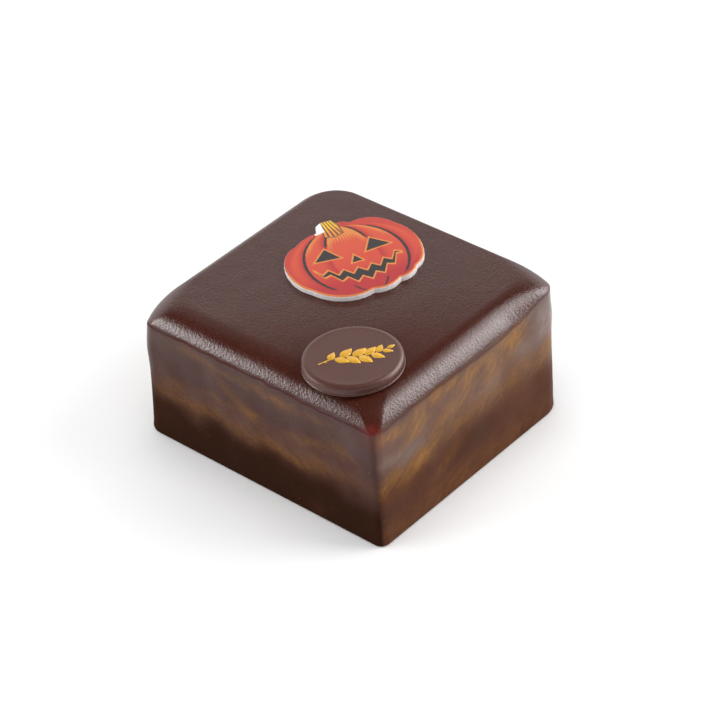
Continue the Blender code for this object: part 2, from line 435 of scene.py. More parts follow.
@dataclass(frozen=True)
class GlazeFinish:
    """Poured chocolate glaze: satin, with fine orange peel, and walls mottled with painted gold, tan and
    pale reflections and painted shade low down.
    """

    chocolate: Colour = (0.0450, 0.0098, 0.0052)
    # painted reflection of gold on the walls
    gold: Colour = (0.2520, 0.1220, 0.0430)
    # painted shade low on the walls
    dusk: Colour = (0.0250, 0.0085, 0.0036)
    # painted warm reflection on the walls
    tan: Colour = (0.1150, 0.0450, 0.0220)
    blush: Colour = (0.1900, 0.0070, 0.0030)
    # painted pale sheen on the walls
    pale: Colour = (0.2400, 0.1750, 0.1550)
    # painted shade: a dark red line under the rounded edge
    seam: Colour = (0.0560, 0.0130, 0.0100)
    speck: Colour = (0.2000, 0.1300, 0.1000)
    # painted glints inside the gold reflections
    painted_glint: Colour = (0.4200, 0.2500, 0.1000)
    roughness: float = 0.24
    peel_waves: float = 1100.0
    peel_depth: float = 0.000095
    fine_waves: float = 2100.0
    fine_depth: float = 0.000026
    flat_share: float = 0.70
    sag_waves: float = 170.0
    sag_depth: float = 0.00004
    fine_grain_waves: float = 1300.0
    broad_waves: float = 55.0
    patch_waves: float = 130.0
    painted_glint_waves: float = 900.0
    speck_waves: float = 290.0
    stroke_turn: float = math.radians(-38.0)
    stroke_waves: float = 560.0
    stroke_stretch: float = 0.30
    stroke_bend: float = 0.006
    bend_waves: float = 60.0
    gold_reflection_matt: float = 0.80
    matt_roughness: float = 0.9

    def strokes(self, graph: SurfaceGraph, place: Sock) -> Sock:
        """Fine streaks that run down the walls at a slant, about 0.5."""
        x, y, z = graph.parts(place)
        along = x - y
        cos, sin = math.cos(self.stroke_turn), math.sin(self.stroke_turn)
        run = (along * cos + z * sin) * self.stroke_stretch
        over = z * cos - along * sin
        bend = graph.cloud(place, self.bend_waves, 2.0) * self.stroke_bend
        return graph.cloud(graph.joined(run + bend, over + bend, 0.0), self.stroke_waves, 4.0, 0.62)

    def material(self) -> bpy.types.Material:
        """Builds the material."""
        graph = SurfaceGraph("chocolate_glaze")
        place = graph.place()
        fine = graph.cloud(place, self.fine_grain_waves, 3.0, 0.6)
        broad = graph.cloud(place, self.broad_waves, 4.0, 0.55)
        patch = graph.cloud(place, self.patch_waves, 5.0, 0.62)
        strokes = self.strokes(graph, place)
        mottle = (patch - 0.5) * 1.9 + (strokes - 0.5) * 1.9
        # painted reflections and painted shade, stored at the mesh's points
        gold = graph.stored(Tone.GOLD.value)
        dusk = graph.stored(Tone.DUSK.value)
        tan = graph.stored(Tone.TAN.value)
        # painted gold reflection, broken up by the mottle
        gold_reflection = (gold * (0.90 + 1.2 * mottle)).at_least(0.0).at_most(1.0)
        # painted warm tan reflection
        tone = graph.blend((tan * (1.0 + 0.5 * mottle)).at_most(1.0), self.chocolate, self.tan)
        # painted pale sheen
        tone = graph.blend(graph.stored(Tone.PALE.value) * (1.0 + 0.7 * mottle), tone, self.pale)
        # painted shade at the walls' foot
        tone = graph.blend((dusk + mottle * dusk * 0.30).at_most(1.0), tone, self.dusk)
        tone = graph.blend(gold_reflection, tone, self.gold)
        # painted glints inside the gold reflections
        painted_glints = graph.dots(place, self.painted_glint_waves, 0.10, 0.30)
        tone = graph.blend(painted_glints * gold_reflection * 0.45, tone, self.painted_glint)
        # painted shade: the dark red line under the rounded edge
        tone = graph.blend(graph.stored(Tone.SEAM.value), tone, self.seam)
        tone = graph.blend(graph.stored(Tone.BLUSH.value), tone, self.blush)
        lift = graph.stored("lift")
        grain = 0.28 + 1.40 * lift.rise(0.0, 0.30)
        tone = graph.scaled(tone, 0.92 + grain * (fine - 0.5) + 0.16 * broad)
        tone = graph.blend(0.55 * graph.dots(place, self.speck_waves, 0.030, 0.060), tone, self.speck)
        normal = graph.bumped(graph.cloud(place, self.sag_waves, 1.0, 0.4), self.sag_depth)
        rounded = lift.rise(0.0, 0.03) * (1.0 - lift.rise(0.30, 0.80))
        share = self.flat_share + (1.0 - self.flat_share) * rounded
        peel = share * graph.cloud(place, self.peel_waves, 2.0, 0.5)
        normal = graph.bumped(peel, self.peel_depth, normal)
        finest = share * graph.cloud(place, self.fine_waves, 1.0, 0.5)
        normal = graph.bumped(finest, self.fine_depth, normal)
        rough = self.roughness + 0.10 * (broad - 0.5)
        gloss = graph.principled(Base_Color=tone, Roughness=rough, IOR=1.5, Normal=normal)
        matt = graph.principled(
            Base_Color=tone, Roughness=self.matt_roughness, Specular_IOR_Level=0.04, Normal=normal
        )
        matt_share = graph.stored(Tone.MATT.value) + self.gold_reflection_matt * gold_reflection
        mixed = graph.add("ShaderNodeMixShader", {}, {0: matt_share.at_most(1.0), 1: gloss, 2: matt})
        return graph.close(mixed)


@dataclass(frozen=True)
class ChocolateFinish:
    """Moulded dark chocolate: nearly matt, with fine specks."""

    chocolate: Colour = (0.0655, 0.0210, 0.0140)
    speck: Colour = (0.190, 0.105, 0.080)
    pit: Colour = (0.040, 0.012, 0.009)
    roughness: float = 0.40
    grain_waves: float = 1500.0
    grain_depth: float = 0.000014
    broad_waves: float = 130.0
    speck_waves: float = 520.0
    pit_waves: float = 410.0

    def material(self) -> bpy.types.Material:
        """Builds the material."""
        graph = SurfaceGraph("moulded_chocolate")
        place = graph.place()
        fine = graph.cloud(place, self.grain_waves, 3.0, 0.6)
        broad = graph.cloud(place, self.broad_waves, 3.0, 0.5)
        tone = graph.scaled(self.chocolate, 0.78 + 0.24 * fine + 0.20 * broad)
        tone = graph.blend(0.6 * graph.dots(place, self.speck_waves, 0.05, 0.11), tone, self.speck)
        tone = graph.blend(0.5 * graph.dots(place, self.pit_waves, 0.03, 0.08), tone, self.pit)
        normal = graph.bumped(fine, self.grain_depth)
        rough = self.roughness + 0.12 * (broad - 0.5)
        return graph.close(graph.principled(Base_Color=tone, Roughness=rough, IOR=1.46, Normal=normal))


@dataclass(frozen=True)
class GiltFinish:
    """Gold coloured cocoa butter, printed thinly."""

    gold: Colour = (0.62, 0.335, 0.016)
    worn: Colour = (0.42, 0.190, 0.010)
    metallic: float = 0.25
    roughness: float = 0.42
    grain_waves: float = 1900.0
    grain_depth: float = 0.000012

    def material(self) -> bpy.types.Material:
        """Builds the material."""
        graph = SurfaceGraph("gilt_print")
        grain = graph.cloud(graph.place(), self.grain_waves, 3.0, 0.6)
        tone = graph.blend(grain.rise(0.42, 0.68) * 0.6, self.gold, self.worn)
        normal = graph.bumped(grain, self.grain_depth)
        shader = graph.principled(
            Base_Color=tone, Roughness=self.roughness, Metallic=self.metallic, Normal=normal
        )
        return graph.close(shader)


class PumpkinPrint:
    """A traditional carved pumpkin, drawn by formulas in the plaque's own millimetres, +v to the stem."""

    def __init__(self, graph: SurfaceGraph, u: Sock, v: Sock) -> None:
        """Keeps the graph and the two coordinates."""
        self.graph = graph
        self.u = u
        self.v = v

    def convex(self, corners: Sequence[Point]) -> Sock:
        """How far outside a convex shape a point is.

        Args:
            corners: The shape's corners, anticlockwise.

        Returns:
            Millimetres, less than 0 inside.
        """
        sides = []
        for (x, y), (next_x, next_y) in zip(corners, [*corners[1:], corners[0]]):
            length = math.hypot(next_x - x, next_y - y)
            across, up = (next_y - y) / length, (x - next_x) / length
            sides.append(self.u * across + self.v * up - (x * across + y * up))
        furthest = sides[0]
        for side in sides[1:]:
            furthest = furthest.at_least(side)
        return furthest

    def mouth(
        self, middle: Point, half_width: float, open_by: float, tooth: float, teeth: float
    ) -> Sock:
        """How far outside a grin with zigzag lips a point is.

        Args:
            middle: The middle of the grin.
            half_width: From its middle to each end.
            open_by: How far it opens at the middle.
            tooth: The height of a tooth.
            teeth: How wide a tooth is.

        Returns:
            Millimetres, less than 0 inside.
        """
        across = self.u - middle[0]
        curve = middle[1] + 0.030 * (across * across)
        narrowing = (1.0 - (across * across) / half_width**2).at_least(0.0)
        bite = (across + 0.25 * teeth).folded(teeth / 2) * (tooth * 2 / teeth) - tooth / 2
        above = (self.v - curve + bite - narrowing * (open_by / 2)) * 0.62
        below = (curve - bite - self.v - narrowing * (open_by / 2)) * 0.62
        return above.at_least(below).at_least(abs(across) - half_width)


@dataclass(frozen=True)
class SugarFinish:
    """A white sugar sheet with a pumpkin printed on its top."""

    white: Colour = (0.77, 0.73, 0.73)
    orange: Colour = (0.470, 0.041, 0.020)
    peach: Colour = (0.540, 0.078, 0.027)
    red: Colour = (0.340, 0.011, 0.015)
    amber: Colour = (0.570, 0.200, 0.036)
    yellow: Colour = (0.720, 0.400, 0.022)
    soot: Colour = (0.014, 0.010, 0.010)
    half_width: float = 24.3
    half_height: float = 21.0
    ribs: tuple[float, ...] = (0.36, 0.74)
    eyes: tuple[tuple[Point, ...], ...] = (
        ((-13.6, 2.6), (-4.6, 1.6), (-8.2, 8.6)),
        ((5.0, 1.6), (14.2, 2.6), (8.8, 8.6)),
    )
    nose: tuple[Point, ...] = ((-1.7, -2.9), (2.1, -2.9), (0.2, 0.9))
    grin_middle: Point = (0.2, -10.6)
    grin_sizes: tuple[float, float, float, float] = (15.5, 4.6, 3.2, 5.0)
    stem_corners: tuple[Point, ...] = ((-5.2, 15.6), (-1.8, 14.6), (1.4, 15.9), (0.7, 26.0), (-4.1, 26.0))
    bare_corners: tuple[Point, ...] = ((-7.9, 18.0), (-4.35, 18.9), (-3.95, 26.0), (-9.0, 26.0))
    wander: float = 0.35
    grain_depth: float = 0.00004

    def material(self, place: Point, turn: float) -> bpy.types.Material:
        """Builds the material.

        Args:
            place: Where the plaque's middle lies on the cake.
            turn: How far the plaque is turned, in radians.

        Returns:
            The material.
        """
        graph = SurfaceGraph("printed_sugar_sheet")
        point = graph.place()
        feeds = {
            "Vector": point,
            "Location": (*place, 0.0),
            "Rotation": (0.0, 0.0, turn),
            "Scale": (MM, MM, MM),
        }
        local = graph.add("ShaderNodeMapping", {"vector_type": "TEXTURE"}, feeds)
        feeds = {"Vector": local, "Scale": 0.9, "Detail": 2.0}
        wobble = graph.add("ShaderNodeTexNoise", {}, feeds, "Color")
        wobble = graph.vector("SUBTRACT", wobble, (0.5, 0.5, 0.5))
        u, v, _ = graph.parts(graph.vector("ADD", local, graph.scaled(wobble, self.wander)))
        art = PumpkinPrint(graph, u, v)
        ink = self.flesh(graph, u, v)
        ink = self.face(graph, art, ink)
        ink = self.stem(graph, art, ink, u, v)
        inset = graph.stored("inset") * 1000.0
        grain = graph.add("ShaderNodeTexNoise", {}, {"Vector": local, "Scale": 3.2, "Detail": 3.0}, 0)
        ragged = inset + 0.5 * (grain - 0.5)
        printed = ragged.rise(0.10, 0.28)
        bare = 1.0 - art.convex(self.bare_corners).rise(-0.15, 0.15)
        printed = printed * (1.0 - bare)
        edge_line = (1.0 - inset.rise(0.75, 1.05)) * (1.0 - v.rise(-4.0, 6.0))
        ink = graph.blend(edge_line * 0.75, ink, self.amber)
        tone = graph.blend(printed, self.white, ink)
        tone = graph.scaled(tone, 0.93 + 0.14 * grain)
        rough = 0.62 - 0.22 * printed
        normal = graph.bumped(grain, self.grain_depth)
        return graph.close(graph.principled(Base_Color=tone, Roughness=rough, IOR=1.45, Normal=normal))

    def flesh(self, graph: SurfaceGraph, u: Sock, v: Sock) -> Sock:
        """The pumpkin's lobes: orange, redder beside each rib and at the bottom, amber at the top."""
        up = (v + 1.0) / self.half_height
        waist = (1.0 - up * up).at_least(0.02) ** 0.5 * self.half_width
        share = abs((u - 0.4) / waist)
        shade = v.rise(-4.0, -15.0) * 0.95
        ink = graph.blend(v.rise(-10.0, 12.0) * 0.55, self.orange, self.peach)
        for rib in self.ribs:
            away = (share - rib) * waist
            beside = (1.0 - away.rise(0.0, 3.4)) * away.rise(-0.6, 0.0)
            shade = shade.at_least(beside * 0.85)
            glow = away.rise(-3.4, -0.9) * (1.0 - away.rise(-0.9, -0.3))
            spikes = (share * 60.0).folded(1.0)
            tips = (v - 5.0 - 5.0 * spikes).rise(0.0, 3.0)
            ink = graph.blend(glow * tips * 0.8, ink, self.amber)
        shade = shade.at_least(share.rise(0.90, 1.0) * 0.55)
        ink = graph.blend(shade, ink, self.red)
        crown = (v - 9.5 - 4.0 * (share * 34.0).folded(1.0)).rise(0.0, 2.2)
        ink = graph.blend(crown * (1.0 - share.rise(0.30, 0.36)) * 0.85, ink, self.amber)
        low = 1.0 - abs((share - self.ribs[0]) * waist).rise(0.22, 0.46)
        lines = low * (1.0 - v.rise(-16.5, -15.0))
        for rib, inner, outer in zip(self.ribs, (9.5, -16.0), (19.5, 17.0)):
            width = 0.42 + 0.16 * rib
            line = 1.0 - abs((share - rib) * waist).rise(width - 0.12, width + 0.12)
            span = v.rise(inner - 1.0, inner + 1.5) * (1.0 - v.rise(outer - 1.5, outer + 1.0))
            lines = lines.at_least(line * span)
        return graph.blend(lines, ink, self.soot)

    def face(self, graph: SurfaceGraph, art: PumpkinPrint, ink: Sock) -> Sock:
        """Two eyes, a nose and a grin, each with an amber outline."""
        cuts = [art.convex(corners) for corners in (*self.eyes, self.nose)]
        cuts.append(art.mouth(self.grin_middle, *self.grin_sizes))
        for cut in cuts:
            ink = graph.blend(1.0 - cut.rise(0.50, 0.72), ink, self.amber)
            ink = graph.blend(1.0 - cut.rise(-0.12, 0.12), ink, self.soot)
        return ink

    def stem(self, graph: SurfaceGraph, art: PumpkinPrint, ink: Sock, u: Sock, v: Sock) -> Sock:
        """The yellow stem with its dark furrows."""
        shape = art.convex(self.stem_corners)
        furrow = (u + 1.9 + 0.12 * (v - 20.0)) * (1.0 + 0.05 * (v - 20.0))
        dark = 1.0 - abs(furrow.folded(1.30) - 0.65).rise(0.16, 0.34)
        gold = graph.blend(v.rise(17.0, 22.0), self.amber, self.yellow)
        ink = graph.blend(1.0 - shape.rise(0.30, 0.50), ink, self.soot)
        ink = graph.blend(1.0 - shape.rise(-0.10, 0.12), ink, gold)
        return graph.blend(dark * (1.0 - shape.rise(-0.3, 0.0)) * 0.9, ink, self.soot)


@dataclass(frozen=True)
class PlainFinish:
    """One plain pale surface, such as the floor or bare sugar."""

    name: str
    colour: Colour
    roughness: float = 0.9
    waves: float = 14.0

    def material(self) -> bpy.types.Material:
        """Builds the material."""
        graph = SurfaceGraph(self.name)
        tone = graph.scaled(self.colour, 0.99 + 0.02 * graph.cloud(graph.place(), self.waves))
        shader = graph.principled(Base_Color=tone, Roughness=self.roughness, Specular_IOR_Level=0.1)
        return graph.close(shader)


BARE_SUGAR = PlainFinish("bare_sugar", (0.74, 0.70, 0.70), 0.6, 900.0)


@dataclass(frozen=True)
class Streak:
    """A soft patch of painted reflection or painted shade on a wall. Millimetres, with its slope in degrees.
    """

    wall: Wall
    tone: Tone
    along: float
    up: float
    half_length: float
    half_height: float
    slope: float
    weight: float

    def at(self, along: float, up: float) -> float:
        """The patch's strength at a place on its wall."""
        turn = math.radians(self.slope)
        off_along, off_up = along - self.along, up - self.up
        across = (off_along * math.cos(turn) + off_up * math.sin(turn)) / self.half_length
        over = (off_up * math.cos(turn) - off_along * math.sin(turn)) / self.half_height
        reach = across * across + over * over
        return self.weight * math.exp(-reach)


# each row: place along and up, half length, half height, slope and weight
PATCHES: dict[tuple[Wall, Tone], tuple[tuple[float, ...], ...]] = {
    # the front wall: painted gold reflections in thin drifts under the edge, and a painted gold fringe over
    # the painted shade of the foot
    (Wall.FRONT, Tone.GOLD): (
        (-23.0, 44.0, 15.0, 1.6, -2.0, 0.27),
        (9.0, 43.2, 13.0, 1.9, -2.0, 0.35),
        (30.0, 43.4, 4.0, 1.4, 0.0, 0.25),
        (-11.0, 35.5, 11.0, 2.4, -34.0, 0.21),
        (-4.0, 30.8, 7.0, 2.4, -6.0, 0.31),
        (-18.0, 29.6, 5.0, 1.8, 4.0, 0.25),
        (24.0, 31.3, 9.0, 2.4, 3.0, 0.34),
        (40.0, 33.5, 7.0, 3.2, -34.0, 0.29),
        (-38.0, 26.8, 8.0, 3.0, 8.0, 0.27),
        (-30.0, 21.6, 24.0, 3.0, -3.0, 0.27),
        (14.0, 22.4, 30.0, 3.0, 1.0, 0.31),
    ),
    (Wall.FRONT, Tone.TAN): (
        (10.0, 24.5, 50.0, 6.0, -1.0, 0.34),
        (26.0, 3.0, 8.0, 5.0, 10.0, 0.42),
        (-30.0, 16.0, 7.0, 5.0, -10.0, 0.34),
        (-46.0, 11.0, 7.0, 7.0, 0.0, 0.30),
    ),
    (Wall.FRONT, Tone.PALE): (
        (-45.0, 42.0, 6.0, 5.0, -40.0, 0.06),
        (43.0, 40.0, 7.0, 5.0, -30.0, 0.09),
    ),
    # the right wall: broad painted tan and gold reflections with painted pale sheen, and painted shade low
    # down
    (Wall.RIGHT, Tone.TAN): (
        (0.0, 36.0, 80.0, 13.0, 0.0, 0.74),
        (30.0, 20.0, 34.0, 14.0, -6.0, 0.50),
        (-20.0, 14.0, 50.0, 9.0, 0.0, 0.50),
        (-10.0, 3.0, 70.0, 6.5, 1.0, 0.60),
    ),
    (Wall.RIGHT, Tone.GOLD): (
        (-40.0, 43.5, 9.0, 1.8, 0.0, 0.56),
        (-29.0, 40.0, 11.0, 3.6, 24.0, 0.66),
        (-16.0, 44.0, 12.0, 3.0, 12.0, 0.54),
        (2.0, 44.5, 16.0, 3.2, 0.0, 0.66),
        (23.0, 44.0, 8.0, 4.6, 30.0, 0.80),
        (-9.0, 36.0, 13.0, 4.6, 30.0, 0.56),
        (12.0, 38.0, 10.0, 4.2, 26.0, 0.52),
        (-42.0, 25.0, 9.0, 4.0, 22.0, 0.56),
        (-27.0, 26.0, 10.0, 3.4, 28.0, 0.72),
        (2.0, 28.0, 20.0, 5.0, 8.0, 0.42),
        (38.0, 29.0, 7.0, 4.6, 30.0, 0.62),
        (26.0, 28.0, 9.0, 4.6, 24.0, 0.40),
        (17.0, 46.0, 9.0, 2.6, 6.0, 0.50),
        (-14.0, 16.0, 9.0, 2.6, 40.0, 0.16),
        (-12.0, 3.0, 60.0, 5.0, 0.0, 0.16),
    ),
    (Wall.RIGHT, Tone.DUSK): (
        (2.0, 15.5, 15.0, 4.2, 6.0, 0.44),
        (-28.0, 16.0, 9.0, 4.5, 34.0, 0.20),
        (-46.0, 12.5, 8.0, 5.0, 20.0, 0.30),
        (-34.5, 32.6, 8.0, 2.4, -10.0, 0.24),
        (25.0, 38.6, 2.6, 2.4, 20.0, 0.16),
    ),
    (Wall.RIGHT, Tone.PALE): (
        (41.0, 43.0, 7.0, 9.0, -20.0, 0.58),
        (43.0, 33.0, 4.5, 9.0, 0.0, 0.34),
        (22.0, 47.5, 11.0, 2.4, 4.0, 0.34),
        (-36.0, 32.8, 12.0, 3.0, -10.0, 0.42),
        (7.0, 33.0, 7.0, 2.8, -6.0, 0.26),
        (25.0, 39.0, 3.2, 3.2, 20.0, 0.30),
    ),
}
STREAKS = tuple(Streak(*kind, *patch) for kind, patches in PATCHES.items() for patch in patches)


@dataclass(frozen=True)
class EdgeShape:
    """How the glaze rounds over from a wall to the flat top: a short sharp lip, then an easing curve."""

    reach: float
    drop: float
    lip_share: float
    lip_turn: float
    ease: float = 1.35
    samples: int = 20

    def profile(self, steps: int) -> list[Point]:
        """Inset from the wall and depth below the top, from the wall up to the flat."""
        insets, heights = [0.0], [0.0]
        for sample in range(steps * self.samples):
            share = (sample + 0.5) / (steps * self.samples)
            if share < self.lip_share:
                turn = 90.0 - (90.0 - self.lip_turn) * share / self.lip_share
            else:
                turn = self.lip_turn * ((1.0 - share) / (1.0 - self.lip_share)) ** self.ease
            insets.append(insets[-1] + math.cos(math.radians(turn)))
            heights.append(heights[-1] + math.sin(math.radians(turn)))
        profile = []
        for inset, height in zip(insets[:: self.samples], heights[:: self.samples]):
            profile.append((self.reach * inset / insets[-1], self.drop * (1.0 - height / heights[-1])))
        return profile


@dataclass
class GlazedCake:
    """The glazed cake. Its shape follows the same rule as its CAD node, in finer steps and with relief.

    The top edge bends a little more roundly over the near corner than in the CAD node.
    """

    length: float = 0.1120
    width: float = 0.0990
    height: float = 0.0548
    leans: tuple[float, float, float, float] = (0.0001, 0.0037, 0.0010, 0.0007)
    base_corner_radii: tuple[float, ...] = (0.0100, 0.0200, 0.0069, 0.0034)
    corner_radii: tuple[float, ...] = (0.0076, 0.0200, 0.0061, 0.0034)
    top_corner_radii: tuple[float, ...] = (0.0178, 0.0107, 0.0149, 0.0115)
    edges: tuple[EdgeShape, ...] = (
        EdgeShape(0.0112, 0.0068, 0.055, 62.0),
        EdgeShape(0.0026, 0.0041, 0.040, 78.0),
        EdgeShape(0.0058, 0.0091, 0.040, 78.0),
        EdgeShape(0.0112, 0.0068, 0.055, 62.0),
    )
    corner_rise: float = 0.55
    corner_rise_span: tuple[float, float] = (0.020, 0.045)
    foot_radius: float = 0.0009
    sink: float = 0.00003
    shoulder: tuple[float, float, float] = (0.0005, 0.80, 0.13)
    sag_depth: float = 0.00022
    sag_waves: float = 95.0
    waves: tuple[tuple[float, int, float, float], ...] = (
        (0.00022, 11, 0.55, 0.10),
        (0.00016, 19, -0.80, 0.47),
        (0.00010, 31, 1.10, 0.83),
    )
    arc_steps: int = 26
    side_steps: int = 88
    foot_steps: int = 4
    wall_steps: int = 92
    edge_steps: int = 34
    top_steps: int = 34
    top_middle: Point = (-0.0060, 0.0129)
    painted_lift: float = 0.10
    drift_waves: tuple[float, float] = (70.0, 190.0)
    near_shade_share: float = 0.75
    near_shade_reach: tuple[float, float] = (0.0, 52.0)
    near_shade_lift: tuple[float, float] = (0.30, 0.60)
    blush_place: Point = (0.0540, -0.0475)
    blush_core: tuple[float, float, float, float] = (0.38, 2.8, 48.8, 1.7)
    blush_glow: tuple[float, float, float, float] = (0.16, 5.0, 45.5, 4.5)
    shade_line_width: float = 0.62
    front_fringe: Point = (19.8, 15.0)
    front_shade: Point = (1.2, 16.0)
    front_middle: Point = (38.0, 12.0)
    front_matt: tuple[float, float, float] = (0.26, 0.24, 0.48)
    side_low: Point = (24.0, 12.0)
    side_middle: Point = (35.0, 14.0)
    side_matt: tuple[float, float, float] = (0.06, 0.32, 0.46)
    bubble_density: float = 16000.0
    bubble_radii: Point = (0.00006, 0.00016)
    seed: int = 7

    def outline(
        self, left: float, right: float, front: float, back: float, radii: Sequence[float]
    ) -> list[tuple[Vector, Vector]]:
        """Points anticlockwise from the right back corner, each with its outward direction."""
        corners = (
            (right, back, 1, 1, 0.0),
            (left, back, -1, 1, 0.25),
            (left, front, -1, -1, 0.5),
            (right, front, 1, -1, 0.75),
        )
        arcs = []
        for (x, y, to_x, to_y, start), radius in zip(corners, radii):
            centre = Vector((x - to_x * radius, y - to_y * radius))
            arc = []
            for step in range(self.arc_steps + 1):
                angle = math.tau * (start + 0.25 * step / self.arc_steps)
                outward = Vector((math.cos(angle), math.sin(angle)))
                arc.append((centre + radius * outward, outward))
            arcs.append(arc)
        points = []
        for arc, following in zip(arcs, arcs[1:] + arcs[:1]):
            points += arc
            (start_point, outward), (end_point, _) = arc[-1], following[0]
            for step in range(1, self.side_steps):
                points.append((start_point.lerp(end_point, step / self.side_steps), outward))
        return points

    def drops(self, outward: Vector, depths: Sequence[float]) -> float:
        """Mixes one depth for each wall, from the right one round to the front one, by direction."""
        quarter = (math.atan2(outward.y, outward.x) / math.tau * 4.0) % 4.0
        wall = int(quarter) % 4
        share = smooth_step(quarter - int(quarter), 0.0, 1.0)
        return depths[wall] * (1.0 - share) + depths[(wall + 1) % 4] * share

    def risen(self, depths: Sequence[float], share_up: float, y: float) -> list[float]:
        """The four walls' depths below the top, where the right edge rises towards the back corner."""
        rise = self.corner_rise * share_up * min(depths[0], self.edges[0].drop)
        return [depths[0] - rise * smooth_step(y, *self.corner_rise_span), *depths[1:]]

    def ring(
        self, share_up: float, edge: Sequence[Point], share_top: float, foot: float = 0.0
    ) -> list[tuple[Vector, Vector, float]]:
        """One closed ring of the cake.

        Args:
            share_up: How far up the wall it lies.
            edge: How far each wall is pulled in, and its depth below the top, from the right one round.
            share_top: How far it is round the edge towards the flat top.
            foot: How far the rounded foot pulls it in.

        Returns:
            Each point with its outward direction, and its share of the way round.
        """
        lean_right, lean_left, lean_front, lean_back = (lean * share_up for lean in self.leans)
        insets = [inset + foot for inset, _ in edge]
        right = self.length / 2 - lean_right - insets[0]
        back = self.width / 2 - lean_back - insets[1]
        left = -self.length / 2 + lean_left + insets[2]
        front = -self.width / 2 + lean_front + insets[3]
        radii = []
        for low, high, top in zip(self.base_corner_radii, self.corner_radii, self.top_corner_radii):
            wall = low + (high - low) * share_up
            radii.append(wall + (top - wall) * share_top)
        points = self.outline(left, right, front, back, radii)
        lengths = [(after[0] - here[0]).length for here, after in zip(points, points[1:] + points[:1])]
        whole = sum(lengths)
        ring, gone = [], 0.0
        for (point, outward), length in zip(points, lengths):
            depths = self.risen([depth for _, depth in edge], share_up, point.y)
            z = self.height - self.drops(outward, depths)
            ring.append((Vector((point.x, point.y, z)), outward, gone / whole))
            gone += length
        return ring

    def wall_edge(self, share: float) -> list[Point]:
        """The four walls' edge values at a share of the way up, from the foot's top to the rounded edge."""
        low = self.height - self.foot_radius
        return [(0.0, low + (edge.drop - low) * share) for edge in self.edges]

    def plain_mesh(self) -> bpy.types.Mesh:
        """The cake without relief, with the numbers that its relief and its finish read."""
        rings, lifts, ups = [], [], []
        for step in range(self.foot_steps):
            angle = 0.5 * math.pi * step / self.foot_steps
            rise = self.foot_radius * (1.0 - math.cos(angle))
            foot = self.foot_radius * (1.0 - math.sin(angle))
            rings.append(self.ring(0.0, [(0.0, self.height - rise)] * 4, 0.0, foot))
            lifts.append(0.0)
            ups.append(0.0)
        for step in range(self.wall_steps + 1):
            share = step / self.wall_steps
            rings.append(self.ring(share, self.wall_edge(share), 0.0))
            lifts.append(0.0)
            ups.append(share)
        profiles = [edge.profile(self.edge_steps) for edge in self.edges]
        for step in range(1, self.edge_steps + 1):
            share = step / self.edge_steps
            rings.append(self.ring(1.0, [profile[step] for profile in profiles], share))
            lifts.append(share)
            ups.append(1.0)
        rim = rings[-1]
        middle = Vector((*self.top_middle, self.height))
        for step in range(1, self.top_steps):
            share = step / self.top_steps
            rings.append([(place.lerp(middle, share), outward, gone) for place, outward, gone in rim])
            lifts.append(1.0)
            ups.append(1.0)
        sides = len(rim)
        points = [place for ring in rings for place, _, _ in ring]
        points += [Vector((0.0, 0.0, 0.0)), middle]
        mesh = mesh_of("glaze", points, ring_faces(len(rings), sides))
        keep_numbers(mesh, "round", [gone for ring in rings for _, _, gone in ring] + [0.0, 0.0])
        keep_numbers(mesh, "up", [up for up in ups for _ in range(sides)] + [0.0, 1.0])
        keep_numbers(mesh, "lift", [lift for lift in lifts for _ in range(sides)] + [0.0, 1.0])
        outward = mesh.attributes.new("outward", "FLOAT_VECTOR", "POINT")
        flat = [part for ring in rings for _, way, _ in ring for part in (way.x, way.y, 0.0)] + [0.0] * 6
        outward.data.foreach_set("vector", flat)
        self.paint(mesh, rings, lifts)
        return mesh

    def paint(self, mesh: bpy.types.Mesh, rings: list, lifts: Sequence[float]) -> None:
        """Stores at each point how much of each tone the glaze has there."""
        tones: dict[Tone, list[float]] = {tone: [] for tone in Tone}
        for ring, lift in zip(rings, lifts):
            for place, outward, _ in ring:
                for tone, share in self.tones_at(place, outward, lift).items():
                    tones[tone].append(share)
        for tone, shares in tones.items():
            keep_numbers(mesh, tone.value, shares + [0.0, 0.0])

    def tones_at(self, place: Vector, outward: Vector, lift: float) -> dict[Tone, float]:
        """The glaze's tones at one point.

        Args:
            place: The point.
            outward: The level direction away from the cake there.
            lift: How far round the edge towards the flat top the point is.

        Returns:
            The share of each tone, from 0 to 1.
        """
        shares = {tone: 0.0 for tone in Tone}
        broad, fine = (place * waves for waves in self.drift_waves)
        drift = Vector((
            noise.noise(broad + Vector((3.1, 0.0, 0.0))),
            noise.noise(broad + Vector((0.0, 7.7, 0.0))),
            noise.noise(fine + Vector((0.0, 0.0, 5.3))),
        ))
        if lift < self.painted_lift:
            self.add_wall_tones(shares, place, outward, drift, 1.0 - lift / self.painted_lift)
            self.add_shade_line(shares, place, outward, drift)
        self.add_corner(shares, place)
        far = min(max((place.y + 0.004) / 0.045, 0.0), 1.0) * max(outward.x, 0.0)
        streaky = 0.5 + 1.6 * noise.noise(Vector((place.y * 150.0, lift * 5.0, 2.0)))
        shares[Tone.MATT] = max(shares[Tone.MATT], 0.12 * far * min(max(streaky, 0.0), 1.0) * (1.0 - lift))
        # painted shade: towards the near corner the top turns to the matt finish, so its reflection darkens
        # there
        nearness = (0.70 * place.x - 0.71 * place.y) / MM
        near_shade = self.near_shade_share * smooth_step(nearness, *self.near_shade_reach) * smooth_step(lift, *self.near_shade_lift)
        shares[Tone.MATT] = max(shares[Tone.MATT], near_shade)
        return shares

